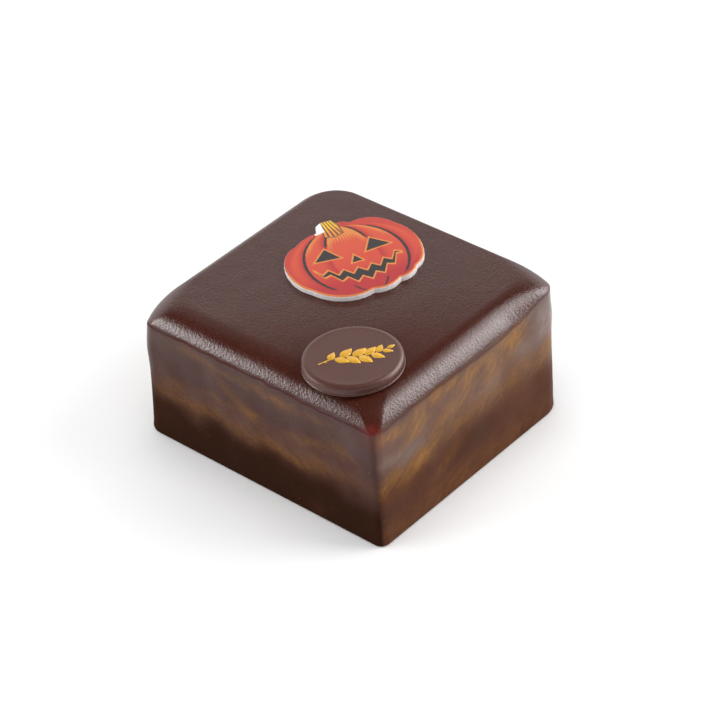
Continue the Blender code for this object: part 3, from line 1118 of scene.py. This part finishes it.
    def add_wall_tones(
        self, shares: dict[Tone, float], place: Vector, outward: Vector, drift: Vector, fade: float
    ) -> None:
        """Adds what the walls that face a point paint there.

        Args:
            shares: The shares so far, which are raised.
            place: The point.
            outward: The level direction away from the cake there.
            drift: Noise that bends the painted patches.
            fade: The strength at this point.
        """
        for wall in Wall:
            normal, run = wall.value
            facing = outward.x * normal[0] + outward.y * normal[1]
            weight = min(max((facing - 0.55) / 0.35, 0.0), 1.0)
            if weight == 0.0:
                continue
            along = (place.x * run[0] + place.y * run[1]) / MM + 5.0 * drift.x + 1.2 * drift.z
            level = place.z / MM + 3.0 * drift.y + 1.3 * drift.z
            for tone, share in self.wall_tones(wall, along, level).items():
                reach = min(2.2 * weight, 1.0) if tone in (Tone.DUSK, Tone.MATT) else weight
                shares[tone] = max(shares[tone], share * reach * fade)

    def add_shade_line(
        self, shares: dict[Tone, float], place: Vector, outward: Vector, drift: Vector
    ) -> None:
        """Adds painted shade: a dark red line just under the rounded edge, where the glaze also turns matt.
        """
        drops = self.risen([edge.drop for edge in self.edges], 1.0, place.y)
        level = self.height - self.drops(outward, drops)
        off = (place.z - level) / MM + 0.15 + 0.9 * drift.z + 0.4 * drift.y
        strength = math.exp(-((off / self.shade_line_width) ** 2)) * (0.9 if outward.y < -0.7 else 0.55)
        shares[Tone.SEAM] = strength
        shares[Tone.MATT] = max(shares[Tone.MATT], strength)

    def add_corner(self, shares: dict[Tone, float], place: Vector) -> None:
        """Adds a deep red spot, with a fainter red round it, on the near corner under its rounded edge."""
        away = math.hypot(place.x - self.blush_place[0], place.y - self.blush_place[1]) / MM
        up = place.z / MM
        parts = []
        for share, reach, level, spread in (self.blush_core, self.blush_glow):
            parts.append(share * math.exp(-((away / reach) ** 2) - ((up - level) / spread) ** 2))
        core, glow = parts
        shares[Tone.BLUSH] = min(core + glow, 1.0)
        shares[Tone.MATT] = max(shares[Tone.MATT], 0.8 * core)

    def wall_tones(self, wall: Wall, along: float, up: float) -> dict[Tone, float]:
        """The painted reflections and painted shade of one wall at a place on it, in millimetres."""
        like = {Wall.BACK: Wall.FRONT, Wall.LEFT: Wall.RIGHT}.get(wall, wall)
        shares = {tone: 0.0 for tone in Tone}
        for streak in STREAKS:
            if streak.wall is like:
                strength = streak.at(along, up)
                shares[streak.tone] = 1.0 - (1.0 - shares[streak.tone]) * (1.0 - strength)
        # painted shade: the front wall darkens below a wavy edge near its foot and the other walls a little
        # low down; low on every wall the gloss gives way to the matt finish
        if like is Wall.FRONT:
            level, span = self.front_fringe
            edge = level + 0.9 * math.sin(along * 0.09) + 2.0 * max(-along - 30.0, 0.0) / 20.0
            low = share_below(up, edge, span)
            dark = share_below(up, edge - self.front_shade[0], self.front_shade[1])
            dusk = dark * (1.0 - 0.6 * shares[Tone.TAN])
            middle = share_below(up, *self.front_middle)
            matt = self.front_matt
        else:
            low = share_below(up, *self.side_low)
            dusk = 0.06 * low * (1.0 - 0.7 * shares[Tone.TAN])
            middle = share_below(up, *self.side_middle)
            matt = self.side_matt
        shares[Tone.DUSK] = max(shares[Tone.DUSK], dusk)
        shares[Tone.MATT] = matt[0] + matt[1] * middle + matt[2] * low
        return shares

    def relief(self, finish: bpy.types.Material) -> ShapeGraph:
        """The tree that gives the plain cake its shoulder, waves and sags.

        Args:
            finish: The glaze's material.

        Returns:
            The tree.
        """
        graph = ShapeGraph("glaze_relief")
        up = graph.stored("up")
        gone = graph.stored("round")
        lift = graph.stored("lift")
        on_wall = 1.0 - lift.rise(0.0, 0.04)
        fade = graph.maths("SINE", up.at_most(1.0).at_least(0.0) * math.pi).at_least(0.0) ** 0.6
        depth = graph.size("Shoulder Depth", self.shoulder[0])
        share = graph.size("Shoulder Share", self.shoulder[1])
        spread = graph.size("Shoulder Spread", self.shoulder[2])
        off = (up - share) / spread
        bulge = depth * graph.maths("EXPONENT", -(off * off))
        for number, (height, count, lean, start) in enumerate(self.waves, 1):
            wave = graph.size(f"Wave {number} Height", height)
            bulge = bulge + wave * graph.maths("SINE", (gone * float(count) + up * lean + start) * math.tau)
        sag_depth = graph.size("Sag Depth", self.sag_depth)
        sag_waves = graph.size("Sag Waves", self.sag_waves)
        place = Sock(graph, graph.node("GeometryNodeInputPosition").outputs[0])
        seed = graph.size("Seed", self.seed, "NodeSocketInt")
        feeds = {"Vector": place, "W": seed * 3.7, "Scale": sag_waves, "Detail": 2.0, "Roughness": 0.45}
        sags = graph.add("ShaderNodeTexNoise", {"noise_dimensions": "4D"}, feeds, 0)
        sink = graph.size("Sink", self.sink)
        sagged = sag_depth * sags * up.rise(0.0, 0.06) * (1.0 - 0.75 * lift)
        push = (fade * bulge * on_wall - sink - sagged) * (1.0 - lift.rise(0.70, 0.98))
        moved = graph.scaled(graph.stored("outward", "FLOAT_VECTOR"), push)
        drop = graph.joined(0.0, 0.0, 0.0 - sag_depth * 0.35 * sags * lift)
        whole = graph.vector("ADD", moved, drop)
        shape = graph.add("GeometryNodeSetPosition", {}, {"Geometry": graph.geometry, "Offset": whole})
        graph.close(shape, finish)
        return graph

    def build(self, finish: bpy.types.Material) -> bpy.types.Object:
        """Builds the glazed cake and dresses it."""
        piece = linked_object("glaze_coat", self.plain_mesh())
        piece.data = self.relief(finish).run(piece)
        piece.data.name = "glaze_coat"
        return finished(piece, "glazed_cake")

    def build_specks(self, coat: bpy.types.Object, finish: bpy.types.Material) -> bpy.types.Object:
        """Scatters tiny set bubbles over the glaze's top.

        Args:
            coat: The finished glaze.
            finish: Its material.

        Returns:
            The specks as one piece.
        """
        graph = ShapeGraph("glaze_bubbles")
        seed = graph.size("Seed", self.seed, "NodeSocketInt")
        density = graph.size("Bubbles To The Square Metre", self.bubble_density)
        small = graph.size("Smallest", self.bubble_radii[0])
        large = graph.size("Largest", self.bubble_radii[1])
        top = graph.stored("lift").rise(0.60, 0.85)
        feeds = {"Mesh": graph.geometry, "Density": density * top, "Seed": seed}
        scatter = graph.node("GeometryNodeDistributePointsOnFaces", {"distribute_method": "RANDOM"}, feeds)
        ball = graph.add("GeometryNodeMeshIcoSphere", {}, {"Radius": 1.0, "Subdivisions": 2})
        size = graph.chance(small, large, seed)
        feeds = {
            "Points": Sock(graph, scatter.outputs["Points"]),
            "Instance": ball,
            "Rotation": Sock(graph, scatter.outputs["Rotation"]),
            "Scale": graph.joined(size, size, size * 0.45),
        }
        placed = graph.add("GeometryNodeInstanceOnPoints", {}, feeds)
        graph.close(placed, finish)
        carrier = linked_object("bubble_carrier", coat.data.copy())
        piece = linked_object("glaze_bubbles", graph.run(carrier))
        piece.data.shade_smooth()
        bpy.data.objects.remove(carrier, do_unlink=True)
        return finished(piece)


@dataclass
class PumpkinPlaque:
    """The flat sugar plaque in a pumpkin's outline."""

    rest: float = 0.0548
    gap: float = 0.0003
    thickness: float = 0.0018
    edge_radius: float = 0.0005
    rim: float = 0.0003
    place: Point = (-0.0075, 0.0147)
    turn: float = math.radians(61.5)
    lobes: tuple[tuple[float, float, float, float], ...] = (
        (-0.0151, 0.0003, 0.0092, 0.0145),
        (-0.0060, -0.0010, 0.0166, 0.0204),
        (0.0032, -0.0061, 0.0116, 0.0149),
        (0.0114, -0.0061, 0.0083, 0.0119),
        (0.0163, 0.0007, 0.0079, 0.0145),
        (0.0093, 0.0063, 0.0124, 0.0150),
        (0.0023, 0.0133, 0.0054, 0.0092),
    )
    stem: tuple[Point, ...] = (
        (0.0014, 0.0205),
        (0.0007, 0.0235),
        (0.0000, 0.0249),
        (-0.0039, 0.0248),
        (-0.0060, 0.0233),
        (-0.0076, 0.0175),
    )
    blend_power: float = 160.0
    sides: int = 900
    inner_insets: tuple[float, ...] = (0.0009, 0.0014, 0.0025, 0.0045, 0.0080, 0.0125)
    crumb_count: int = 420
    crumb_radii: Point = (0.00007, 0.00019)
    crumb_stray: float = 0.00012
    crumb_spread: float = 0.00065
    crumb_level: float = 0.0007
    seed: int = 21

    def lobe_reach(self, lobe: Sequence[float], angle: float) -> float:
        """The furthest point of one lobe along a ray from the middle, or 0 where the ray misses it."""
        across, up, half_width, half_height = lobe
        ray_x, ray_y = math.cos(angle) / half_width, math.sin(angle) / half_height
        centre_x, centre_y = across / half_width, up / half_height
        along = ray_x * centre_x + ray_y * centre_y
        square = ray_x**2 + ray_y**2
        inside = along**2 - square * (centre_x**2 + centre_y**2 - 1.0)
        return max((along + math.sqrt(inside)) / square, 0.0) if inside >= 0.0 else 0.0

    def stem_reach(self, angle: float) -> float:
        """The stem's edge along a ray from the middle, or 0 where the ray misses it."""
        ray = Vector((math.cos(angle), math.sin(angle)))
        for start, end in zip(self.stem, self.stem[1:]):
            before, after = ray.cross(Vector(start)), ray.cross(Vector(end))
            if before <= 0.0 <= after:
                return Vector(start).lerp(Vector(end), before / (before - after)).dot(ray)
        return 0.0

    def reach(self, angle: float) -> float:
        """The plaque's edge along a ray from its middle."""
        reaches = [self.lobe_reach(lobe, angle) for lobe in self.lobes] + [self.stem_reach(angle)]
        largest = max(reaches)
        total = sum((reach / largest) ** self.blend_power for reach in reaches)
        return self.rim + largest * total ** (1.0 / self.blend_power)

    def levels(self) -> list[tuple[float, float, float]]:
        """The edge from the bottom up: height, inset, and how far in that counts for the print."""
        low = self.rest - 0.00005
        top = self.rest + self.gap + self.thickness
        levels = [(low, 0.00012, -0.0010), (low + 0.0002, 0.0, -0.0009)]
        wall = top - self.edge_radius - low
        for share in (0.35, 0.55, 0.75, 0.9):
            levels.append((low + wall * share, 0.0, -0.0007 + 0.0006 * share))
        for step in range(7):
            angle = 0.5 * math.pi * step / 6
            inset = self.edge_radius * (1.0 - math.cos(angle))
            levels.append((top - self.edge_radius * (1.0 - math.sin(angle)), inset, inset + 0.00004 * step))
        for inset in self.inner_insets:
            levels.append((top, inset, inset))
        return levels

    def build(self, finish: bpy.types.Material) -> bpy.types.Object:
        """Builds the plaque with its slightly ragged edge, and dresses it."""
        turned = Matrix.Rotation(self.turn, 3, "Z")
        middle = Vector((*self.place, 0.0))
        outline = []
        for i in range(self.sides):
            angle = math.tau * i / self.sides
            outline.append((level_ray(angle), self.reach(angle)))
        levels = self.levels()
        points, insets = [], []
        for height, inset, shown in levels:
            for ray, reach in outline:
                rough = noise.noise(ray * reach * 900.0 + Vector((0.0, 0.0, height * 700.0)))
                soft = noise.noise(ray * reach * 260.0 + Vector((0.0, 4.0, 0.0)))
                ragged = (0.00009 * rough + 0.00008 * soft) * max(1.0 - inset / 0.0012, 0.0)
                place = turned @ (ray * max(reach - inset - ragged, 0.002)) + middle
                points.append(Vector((place.x, place.y, height)))
                insets.append(shown)
        points += [Vector((*self.place, levels[0][0])), Vector((*self.place, levels[-1][0]))]
        insets += [-0.001, 0.02]
        mesh = mesh_of("sugar_pumpkin", points, ring_faces(len(levels), self.sides))
        keep_numbers(mesh, "inset", insets)
        mesh.materials.append(finish)
        return finished(linked_object("sugar_pumpkin", mesh), "pumpkin_plaque")

    def build_crumbs(self, finish: bpy.types.Material) -> bpy.types.Object:
        """Strews tiny sugar crumbs along the plaque's cut edge.

        Args:
            finish: The crumbs' material.

        Returns:
            The crumbs as one piece.
        """
        turned = Matrix.Rotation(self.turn, 3, "Z")
        middle = Vector((*self.place, self.rest + self.crumb_level))
        points = []
        for i in range(self.sides):
            angle = math.tau * i / self.sides
            points.append(turned @ (level_ray(angle) * (self.reach(angle) - 0.00004)) + middle)
        carrier = path_carrier("crumb_path", points, closed=True)
        graph = ShapeGraph("edge_crumbs")
        seed = graph.size("Seed", self.seed, "NodeSocketInt")
        count = graph.size("Crumbs", self.crumb_count, "NodeSocketInt")
        small = graph.size("Smallest", self.crumb_radii[0])
        large = graph.size("Largest", self.crumb_radii[1])
        stray = graph.size("Stray", self.crumb_stray)
        spread = graph.size("Spread Up", self.crumb_spread)
        curve = graph.add("GeometryNodeMeshToCurve", {}, {0: graph.geometry})
        along = graph.add("GeometryNodeCurveToPoints", {"mode": "COUNT"}, {"Curve": curve, "Count": count})
        low = graph.joined(-stray, -stray, -spread)
        high = graph.joined(stray, stray, spread)
        offset = graph.chance_vector(low, high, seed)
        strewn = graph.add("GeometryNodeSetPosition", {}, {"Geometry": along, "Offset": offset})
        grain = graph.add("GeometryNodeMeshIcoSphere", {}, {"Radius": 1.0, "Subdivisions": 1})
        size = graph.chance(small, large, seed + 1.0)
        whole_turn = graph.joined(6.28, 6.28, 6.28)
        turn = graph.chance_vector(graph.joined(0.0, 0.0, 0.0), whole_turn, seed + 2.0)
        scale = graph.joined(size, size * 0.8, size)
        feeds = {"Points": strewn, "Instance": grain, "Rotation": turn, "Scale": scale}
        graph.close(graph.add("GeometryNodeInstanceOnPoints", {}, feeds), finish)
        piece = linked_object("sugar_crumbs", graph.run(carrier))
        bpy.data.objects.remove(carrier, do_unlink=True)
        return finished(piece)


@dataclass
class ChocolateDisc:
    """The moulded chocolate disc, and the gilt sprig that is printed on it."""

    rest: float = 0.0548
    gap: float = 0.0003
    diameter: float = 0.0349
    height: float = 0.0036
    flat_diameter: float = 0.0308
    wall_share: float = 0.50
    chamfer: float = 0.02
    dish: float = 0.00005
    place: Point = (0.0311, -0.0300)
    turn: float = math.radians(44.0)
    sides: int = 220
    bevel_steps: int = 22
    sprig_tilt: float = math.radians(14.0)
    sprig_length: float = 0.0240
    sunk: float = 0.00003
    stalk_radius: float = 0.00028
    stalk_steps: int = 48
    leaf_pairs: int = 6
    leaf_length: float = 0.0045
    leaf_lean: float = math.radians(42.0)
    leaf_rise: float = 0.0013

    def profile(self) -> list[Point]:
        """Radius and height from the foot up: a thin lip, a short wall, the rounded slope and the flat."""
        radius, flat = self.diameter / 2, self.flat_diameter / 2
        wall = self.height * self.wall_share
        profile = [
            (radius - 0.00050, -self.gap - 0.00005),
            (radius - 0.00022, -self.gap + 0.00010),
            (radius - 0.00002, 0.00004),
            (radius, 0.00022),
            (radius - 0.00006, 0.00038),
            (radius - 0.00026, 0.00050),
            (radius - 0.00028, 0.00085),
        ]
        for step in range(self.bevel_steps + 1):
            angle = 0.5 * math.pi * step / self.bevel_steps
            slack = 0.00026 * max(1.0 - 2.0 * step / self.bevel_steps, 0.0)
            run = math.cos(angle) * (1.0 - self.chamfer) + (1.0 - step / self.bevel_steps) * self.chamfer
            rise = math.sin(angle) * (1.0 - self.chamfer) + step / self.bevel_steps * self.chamfer
            profile.append((flat + (radius - flat) * run - slack, wall + (self.height - wall) * rise))
        for share, dish in ((0.985, 0.2), (0.95, 0.6), (0.90, 0.9), (0.75, 1.0), (0.55, 1.0), (0.3, 1.0)):
            profile.append((flat * share, self.height - self.dish * dish))
        return profile

    def build(self, finish: bpy.types.Material) -> bpy.types.Object:
        """Turns the disc from its profile, with the small unevenness of a mould, and dresses it."""
        base = self.rest + self.gap
        points = []
        profile = self.profile()
        for radius, height in profile:
            for i in range(self.sides):
                ray = level_ray(math.tau * i / self.sides)
                nick = noise.noise(ray * 9.0 + Vector((0.0, 0.0, height * 300.0)))
                chip = max(noise.noise(ray * 31.0) - 0.28, 0.0) if height < 0.0006 else 0.0
                reach = radius - 0.00005 * abs(nick) - 0.0005 * chip
                points.append((self.place[0] + reach * ray.x, self.place[1] + reach * ray.y, base + height))
        points += [(*self.place, base + profile[0][1]), (*self.place, base + profile[-1][1])]
        mesh = mesh_of("moulded_disc", points, ring_faces(len(profile), self.sides))
        mesh.materials.append(finish)
        return finished(linked_object("moulded_disc", mesh), "chocolate_disc")

    def leaf(self) -> bpy.types.Object:
        """One flat leaf, 1 long along +X, with a raised middle."""
        outline, steps = [], 7
        for step in range(steps + 1):
            share = step / steps
            outline.append((share, 0.30 * math.sin(math.pi * share**0.8) ** 0.9))
        ring = [*outline, *((x, -y) for x, y in reversed(outline[1:-1]))]
        ring.reverse()
        points = [(x, y, 0.0) for x, y in ring]
        points += [(x * 0.98 + 0.01, y * 0.8, 0.09) for x, y in ring]
        points += [(0.5, 0.0, 0.0), (0.5, 0.0, 0.10)]
        made = linked_object("leaf_pattern", mesh_of("leaf_pattern", points, ring_faces(2, len(ring))))
        shape = bmesh.new()
        shape.from_mesh(made.data)
        bmesh.ops.recalc_face_normals(shape, faces=shape.faces)
        shape.to_mesh(made.data)
        shape.free()
        return made

    def build_sprig(self, finish: bpy.types.Material) -> bpy.types.Object:
        """Lays a gilt sprig across the disc: a bowed stalk with leaves in pairs.

        Args:
            finish: The gilt's material.

        Returns:
            The sprig as one piece.
        """
        turned = Matrix.Rotation(self.turn + self.sprig_tilt, 3, "Z")
        middle = Vector((*self.place, self.rest + self.gap + self.height - self.dish - self.sunk))
        points = []
        for step in range(self.stalk_steps + 1):
            share = step / self.stalk_steps
            across = (share - 0.5) * self.sprig_length
            bow = 0.0011 * math.sin(math.tau * share) - 0.0003
            points.append(turned @ Vector((across, bow, 0.0)) + middle)
        carrier = path_carrier("stalk_path", points, closed=False)
        pattern = self.leaf()
        graph = ShapeGraph("gilt_sprig")
        thick = graph.size("Stalk Radius", self.stalk_radius)
        count = graph.size("Leaf Rows", self.leaf_pairs * 2 + 1, "NodeSocketInt")
        length = graph.size("Leaf Length", self.leaf_length)
        lean = graph.size("Leaf Lean", self.leaf_lean)
        rise = graph.size("Leaf Rise", self.leaf_rise)
        shape = graph.size("Leaf", pattern, "NodeSocketObject")
        curve = graph.add("GeometryNodeMeshToCurve", {}, {0: graph.geometry})
        share = graph.add("GeometryNodeSplineParameter", {}, {}, "Factor")
        taper = 1.0 - 0.55 * share
        curve = graph.add("GeometryNodeSetCurveRadius", {}, {"Curve": curve, "Radius": taper})
        feeds = {"Resolution": 8, "Radius": thick}
        ring = graph.add("GeometryNodeCurvePrimitiveCircle", {"mode": "RADIUS"}, feeds)
        flat = graph.add("GeometryNodeTransform", {}, {"Geometry": ring, "Scale": (1.0, 0.40, 1.0)})
        feeds = {"Curve": curve, "Profile Curve": flat, "Fill Caps": True, "Scale": taper}
        stalk = graph.add("GeometryNodeCurveToMesh", {}, feeds)
        rows = graph.node("GeometryNodeCurveToPoints", {"mode": "COUNT"}, {"Curve": curve, "Count": count})
        place = Sock(graph, rows.outputs["Points"])
        tangent = Sock(graph, rows.outputs["Tangent"])
        settings = {"axis": "X", "pivot_axis": "Z"}
        along = graph.add("FunctionNodeAlignRotationToVector", settings, {"Vector": tangent})
        number = graph.add("GeometryNodeInputIndex", {}, {})
        part = number / (count - 1.0)
        side = 1.0 - 2.0 * graph.maths("MODULO", number, 2.0)
        opened = side * lean * (1.0 - part.rise(0.94, 1.0))
        feeds = {"Axis": (0.0, 0.0, 1.0), "Angle": opened}
        swing = graph.add("FunctionNodeAxisAngleToRotation", {}, feeds)
        feeds = {"Rotation": along, "Rotate By": swing}
        turn = graph.add("FunctionNodeRotateRotation", {"rotation_space": "LOCAL"}, feeds)
        swell = 0.62 + 0.75 * graph.maths("SINE", part * math.pi * 0.9 + 0.25)
        grown = length * swell * part.rise(0.02, 0.2)
        settings = {"transform_space": "ORIGINAL"}
        info = graph.add("GeometryNodeObjectInfo", settings, {"Object": shape}, "Geometry")
        scale = graph.joined(grown, grown, rise)
        feeds = {"Points": place, "Instance": info, "Rotation": turn, "Scale": scale}
        leaves = graph.add("GeometryNodeInstanceOnPoints", {}, feeds)
        joined = graph.node("GeometryNodeJoinGeometry")
        graph.tree.links.new(leaves.link, joined.inputs[0])
        graph.tree.links.new(stalk.link, joined.inputs[0])
        graph.close(Sock(graph, joined.outputs[0]), finish)
        piece = linked_object("gilt_sprig", graph.run(carrier))
        piece.data.shade_smooth()
        for gone in (carrier, pattern):
            bpy.data.objects.remove(gone, do_unlink=True)
        return finished(piece)


@dataclass(frozen=True)
class Softbox:
    """A glowing panel that faces the cake. Its bearing is from +X, anticlockwise.

    A mirrored panel shows in the gloss alone, and is brightest along its middle. Its upper rim tapers to
    the side that the sign of tapers gives. Any other panel is a fill, which only lights.
    """

    name: str
    bearing: float
    low: float
    high: float
    half_turn: float
    distance: float
    glow: float
    fade: float = 0.0
    tapers: float = 0.0
    mirrored: bool = True
    columns: int = 24
    rows: int = 16

    def build(self) -> bpy.types.Object:
        """Builds the panel as part of a dome round the cake."""
        points, faces, heights, turns = [], [], [], []
        for row in range(self.rows + 1):
            rise = math.radians(self.low + (self.high - self.low) * row / self.rows)
            for column in range(self.columns + 1):
                turn = math.radians(self.bearing + self.half_turn * (2.0 * column / self.columns - 1.0))
                level = math.cos(rise)
                way = Vector((math.cos(turn) * level, math.sin(turn) * level, math.sin(rise)))
                points.append(way * self.distance)
                heights.append(row / self.rows)
                turns.append(column / self.columns)
        after = self.columns + 1
        for row in range(self.rows):
            for column in range(self.columns):
                corner = row * after + column
                faces.append((corner, corner + after, corner + after + 1, corner + 1))
        mesh = mesh_of(self.name, points, faces)
        keep_numbers(mesh, "height_share", heights)
        keep_numbers(mesh, "turn_share", turns)
        mesh.materials.append(self.material())
        made = linked_object(self.name, mesh)
        made.visible_camera = False
        made.visible_shadow = False
        made.visible_glossy = self.mirrored
        made.visible_diffuse = not self.mirrored
        return made

    def material(self) -> bpy.types.Material:
        """The panel's glow: even where it is only a fill, and soft towards its rim where it shows."""
        graph = SurfaceGraph(self.name)
        power = self.glow
        if self.mirrored:
            height = graph.stored("height_share")
            turn = graph.stored("turn_share")
            side = ((2.0 * turn - 1.0) * self.tapers).at_least(0.0)
            share = (height / (1.0 - side * side).at_least(0.04) ** 0.5).at_most(1.0)
            middle = (4.0 * share * (1.0 - share)).at_least(0.0) ** 0.8
            ends = (4.0 * turn * (1.0 - turn)).at_least(0.0) ** 0.3
            power = self.glow * middle * ends * (1.0 - self.fade * height)
        return graph.close(graph.add("ShaderNodeEmission", {}, {"Strength": power}))


@dataclass
class Studio:
    """The pale floor, the soft light and the camera."""

    floor_half: float = 3.0
    floor_colour: Colour = (0.86, 0.86, 0.86)
    camera_place: tuple[float, float, float] = (0.533458, -0.539463, 0.601034)
    azimuth: float = math.radians(44.41)
    elevation: float = math.radians(37.267)
    roll: float = math.radians(-5.266)
    lens: float = 136.04
    sensor: float = 36.0
    sky_far: float = 1.50
    sky_near: float = 0.30
    sky_card: float = 0.46
    sky_fall: tuple[float, float] = (0.530, 0.592)
    card_left: tuple[float, float] = (-0.60, -0.34)
    card_right: tuple[float, float] = (0.03, 0.17)
    card_top: tuple[float, float] = (0.80, 0.90)
    card_least: float = 0.08
    clip: tuple[float, float] = (0.01, 50.0)
    softboxes: tuple[Softbox, ...] = field(
        default_factory=lambda: (
            Softbox("left_softbox", 222.0, 2.0, 37.0, 14.5, 1.1, 11.4, 0.10, 1.0),
            Softbox("right_softbox", 61.0, 4.0, 64.0, 32.0, 1.1, 9.6, -0.20, -1.0),
            Softbox("left_fill", 229.0, 6.0, 42.0, 19.0, 1.15, 4.2, mirrored=False),
            Softbox("right_fill", 41.0, 6.0, 58.0, 19.0, 1.15, 4.5, mirrored=False),
            Softbox("top_fill", 200.0, 68.0, 89.0, 178.0, 1.2, 3.25, mirrored=False),
            Softbox("front_fill", 315.0, 14.0, 60.0, 55.0, 1.3, 0.8, mirrored=False),
        )
    )

    def build_floor(self) -> bpy.types.Object:
        """Lays the floor."""
        half = self.floor_half
        corners = ((-half, -half, 0.0), (half, -half, 0.0), (half, half, 0.0), (-half, half, 0.0))
        floor = linked_object("floor", mesh_of("floor", corners, ((0, 1, 2, 3),)))
        floor.data.materials.append(PlainFinish("pale_floor", self.floor_colour).material())
        return floor

    def build_sky(self) -> None:
        """Surrounds the set with a bright low backdrop, with a dimmer card above it behind the cake."""
        world = bpy.data.worlds.new("studio_backdrop")
        world.use_nodes = True
        graph = Graph(world.node_tree)
        graph.tree.nodes.clear()
        way = graph.add("ShaderNodeTexCoord", {}, {}, "Generated")
        x, y, height = graph.parts(graph.vector("NORMALIZE", way))
        behind = (y * math.cos(self.azimuth) - x * math.sin(self.azimuth)).rise(-0.1, 0.5)
        aside = x * math.cos(self.azimuth) + y * math.sin(self.azimuth)
        low = self.sky_near + (self.sky_far - self.sky_near) * behind
        card = aside.rise(*self.card_left) * (1.0 - aside.rise(*self.card_right))
        card = card * (1.0 - height.rise(*self.card_top))
        high = self.sky_card * (self.card_least + (1.0 - self.card_least) * card)
        glow = low + (high - low) * height.rise(*self.sky_fall)
        shade = graph.node("ShaderNodeBackground", {}, {"Color": (1.0, 1.0, 1.0), "Strength": glow})
        end = graph.node("ShaderNodeOutputWorld")
        graph.tree.links.new(shade.outputs[0], end.inputs["Surface"])
        bpy.context.scene.world = world

    def build_camera(self) -> bpy.types.Object:
        """Sets up the camera at the photograph's viewing angle."""
        back = Vector((
            math.sin(self.azimuth) * math.cos(self.elevation),
            -math.cos(self.azimuth) * math.cos(self.elevation),
            math.sin(self.elevation),
        ))
        level = Vector((0.0, 0.0, 1.0)).cross(back).normalized()
        upright = back.cross(level)
        across = math.cos(self.roll) * level + math.sin(self.roll) * upright
        above = math.cos(self.roll) * upright - math.sin(self.roll) * level
        data = bpy.data.cameras.new("camera")
        data.lens = self.lens
        data.sensor_width = self.sensor
        data.clip_start, data.clip_end = self.clip
        camera = bpy.data.objects.new("camera", data)
        bpy.context.scene.collection.objects.link(camera)
        turned = Matrix((across, above, back)).transposed().to_4x4()
        camera.matrix_world = Matrix.Translation(self.camera_place) @ turned
        bpy.context.scene.camera = camera
        return camera

    def build(self) -> None:
        """Builds the whole studio."""
        self.build_floor()
        self.build_sky()
        for softbox in self.softboxes:
            softbox.build()
        self.build_camera()
        view = bpy.context.scene.view_settings
        view.view_transform = "Standard"
        view.look = "None"
        view.exposure = 0.0
        view.gamma = 1.0


def main() -> None:
    """Builds the cake's pieces in order, then the studio round them."""
    logging.basicConfig(level=logging.INFO, format="%(name)s: %(message)s")
    cake = GlazedCake()
    glaze = GlazeFinish().material()
    coat = cake.build(glaze)
    cake.build_specks(coat, glaze)
    plaque = PumpkinPlaque()
    plaque.build(SugarFinish().material(plaque.place, plaque.turn))
    plaque.build_crumbs(BARE_SUGAR.material())
    disc = ChocolateDisc()
    disc.build(ChocolateFinish().material())
    disc.build_sprig(GiltFinish().material())
    Studio().build()


if __name__ == "__main__":
    main()
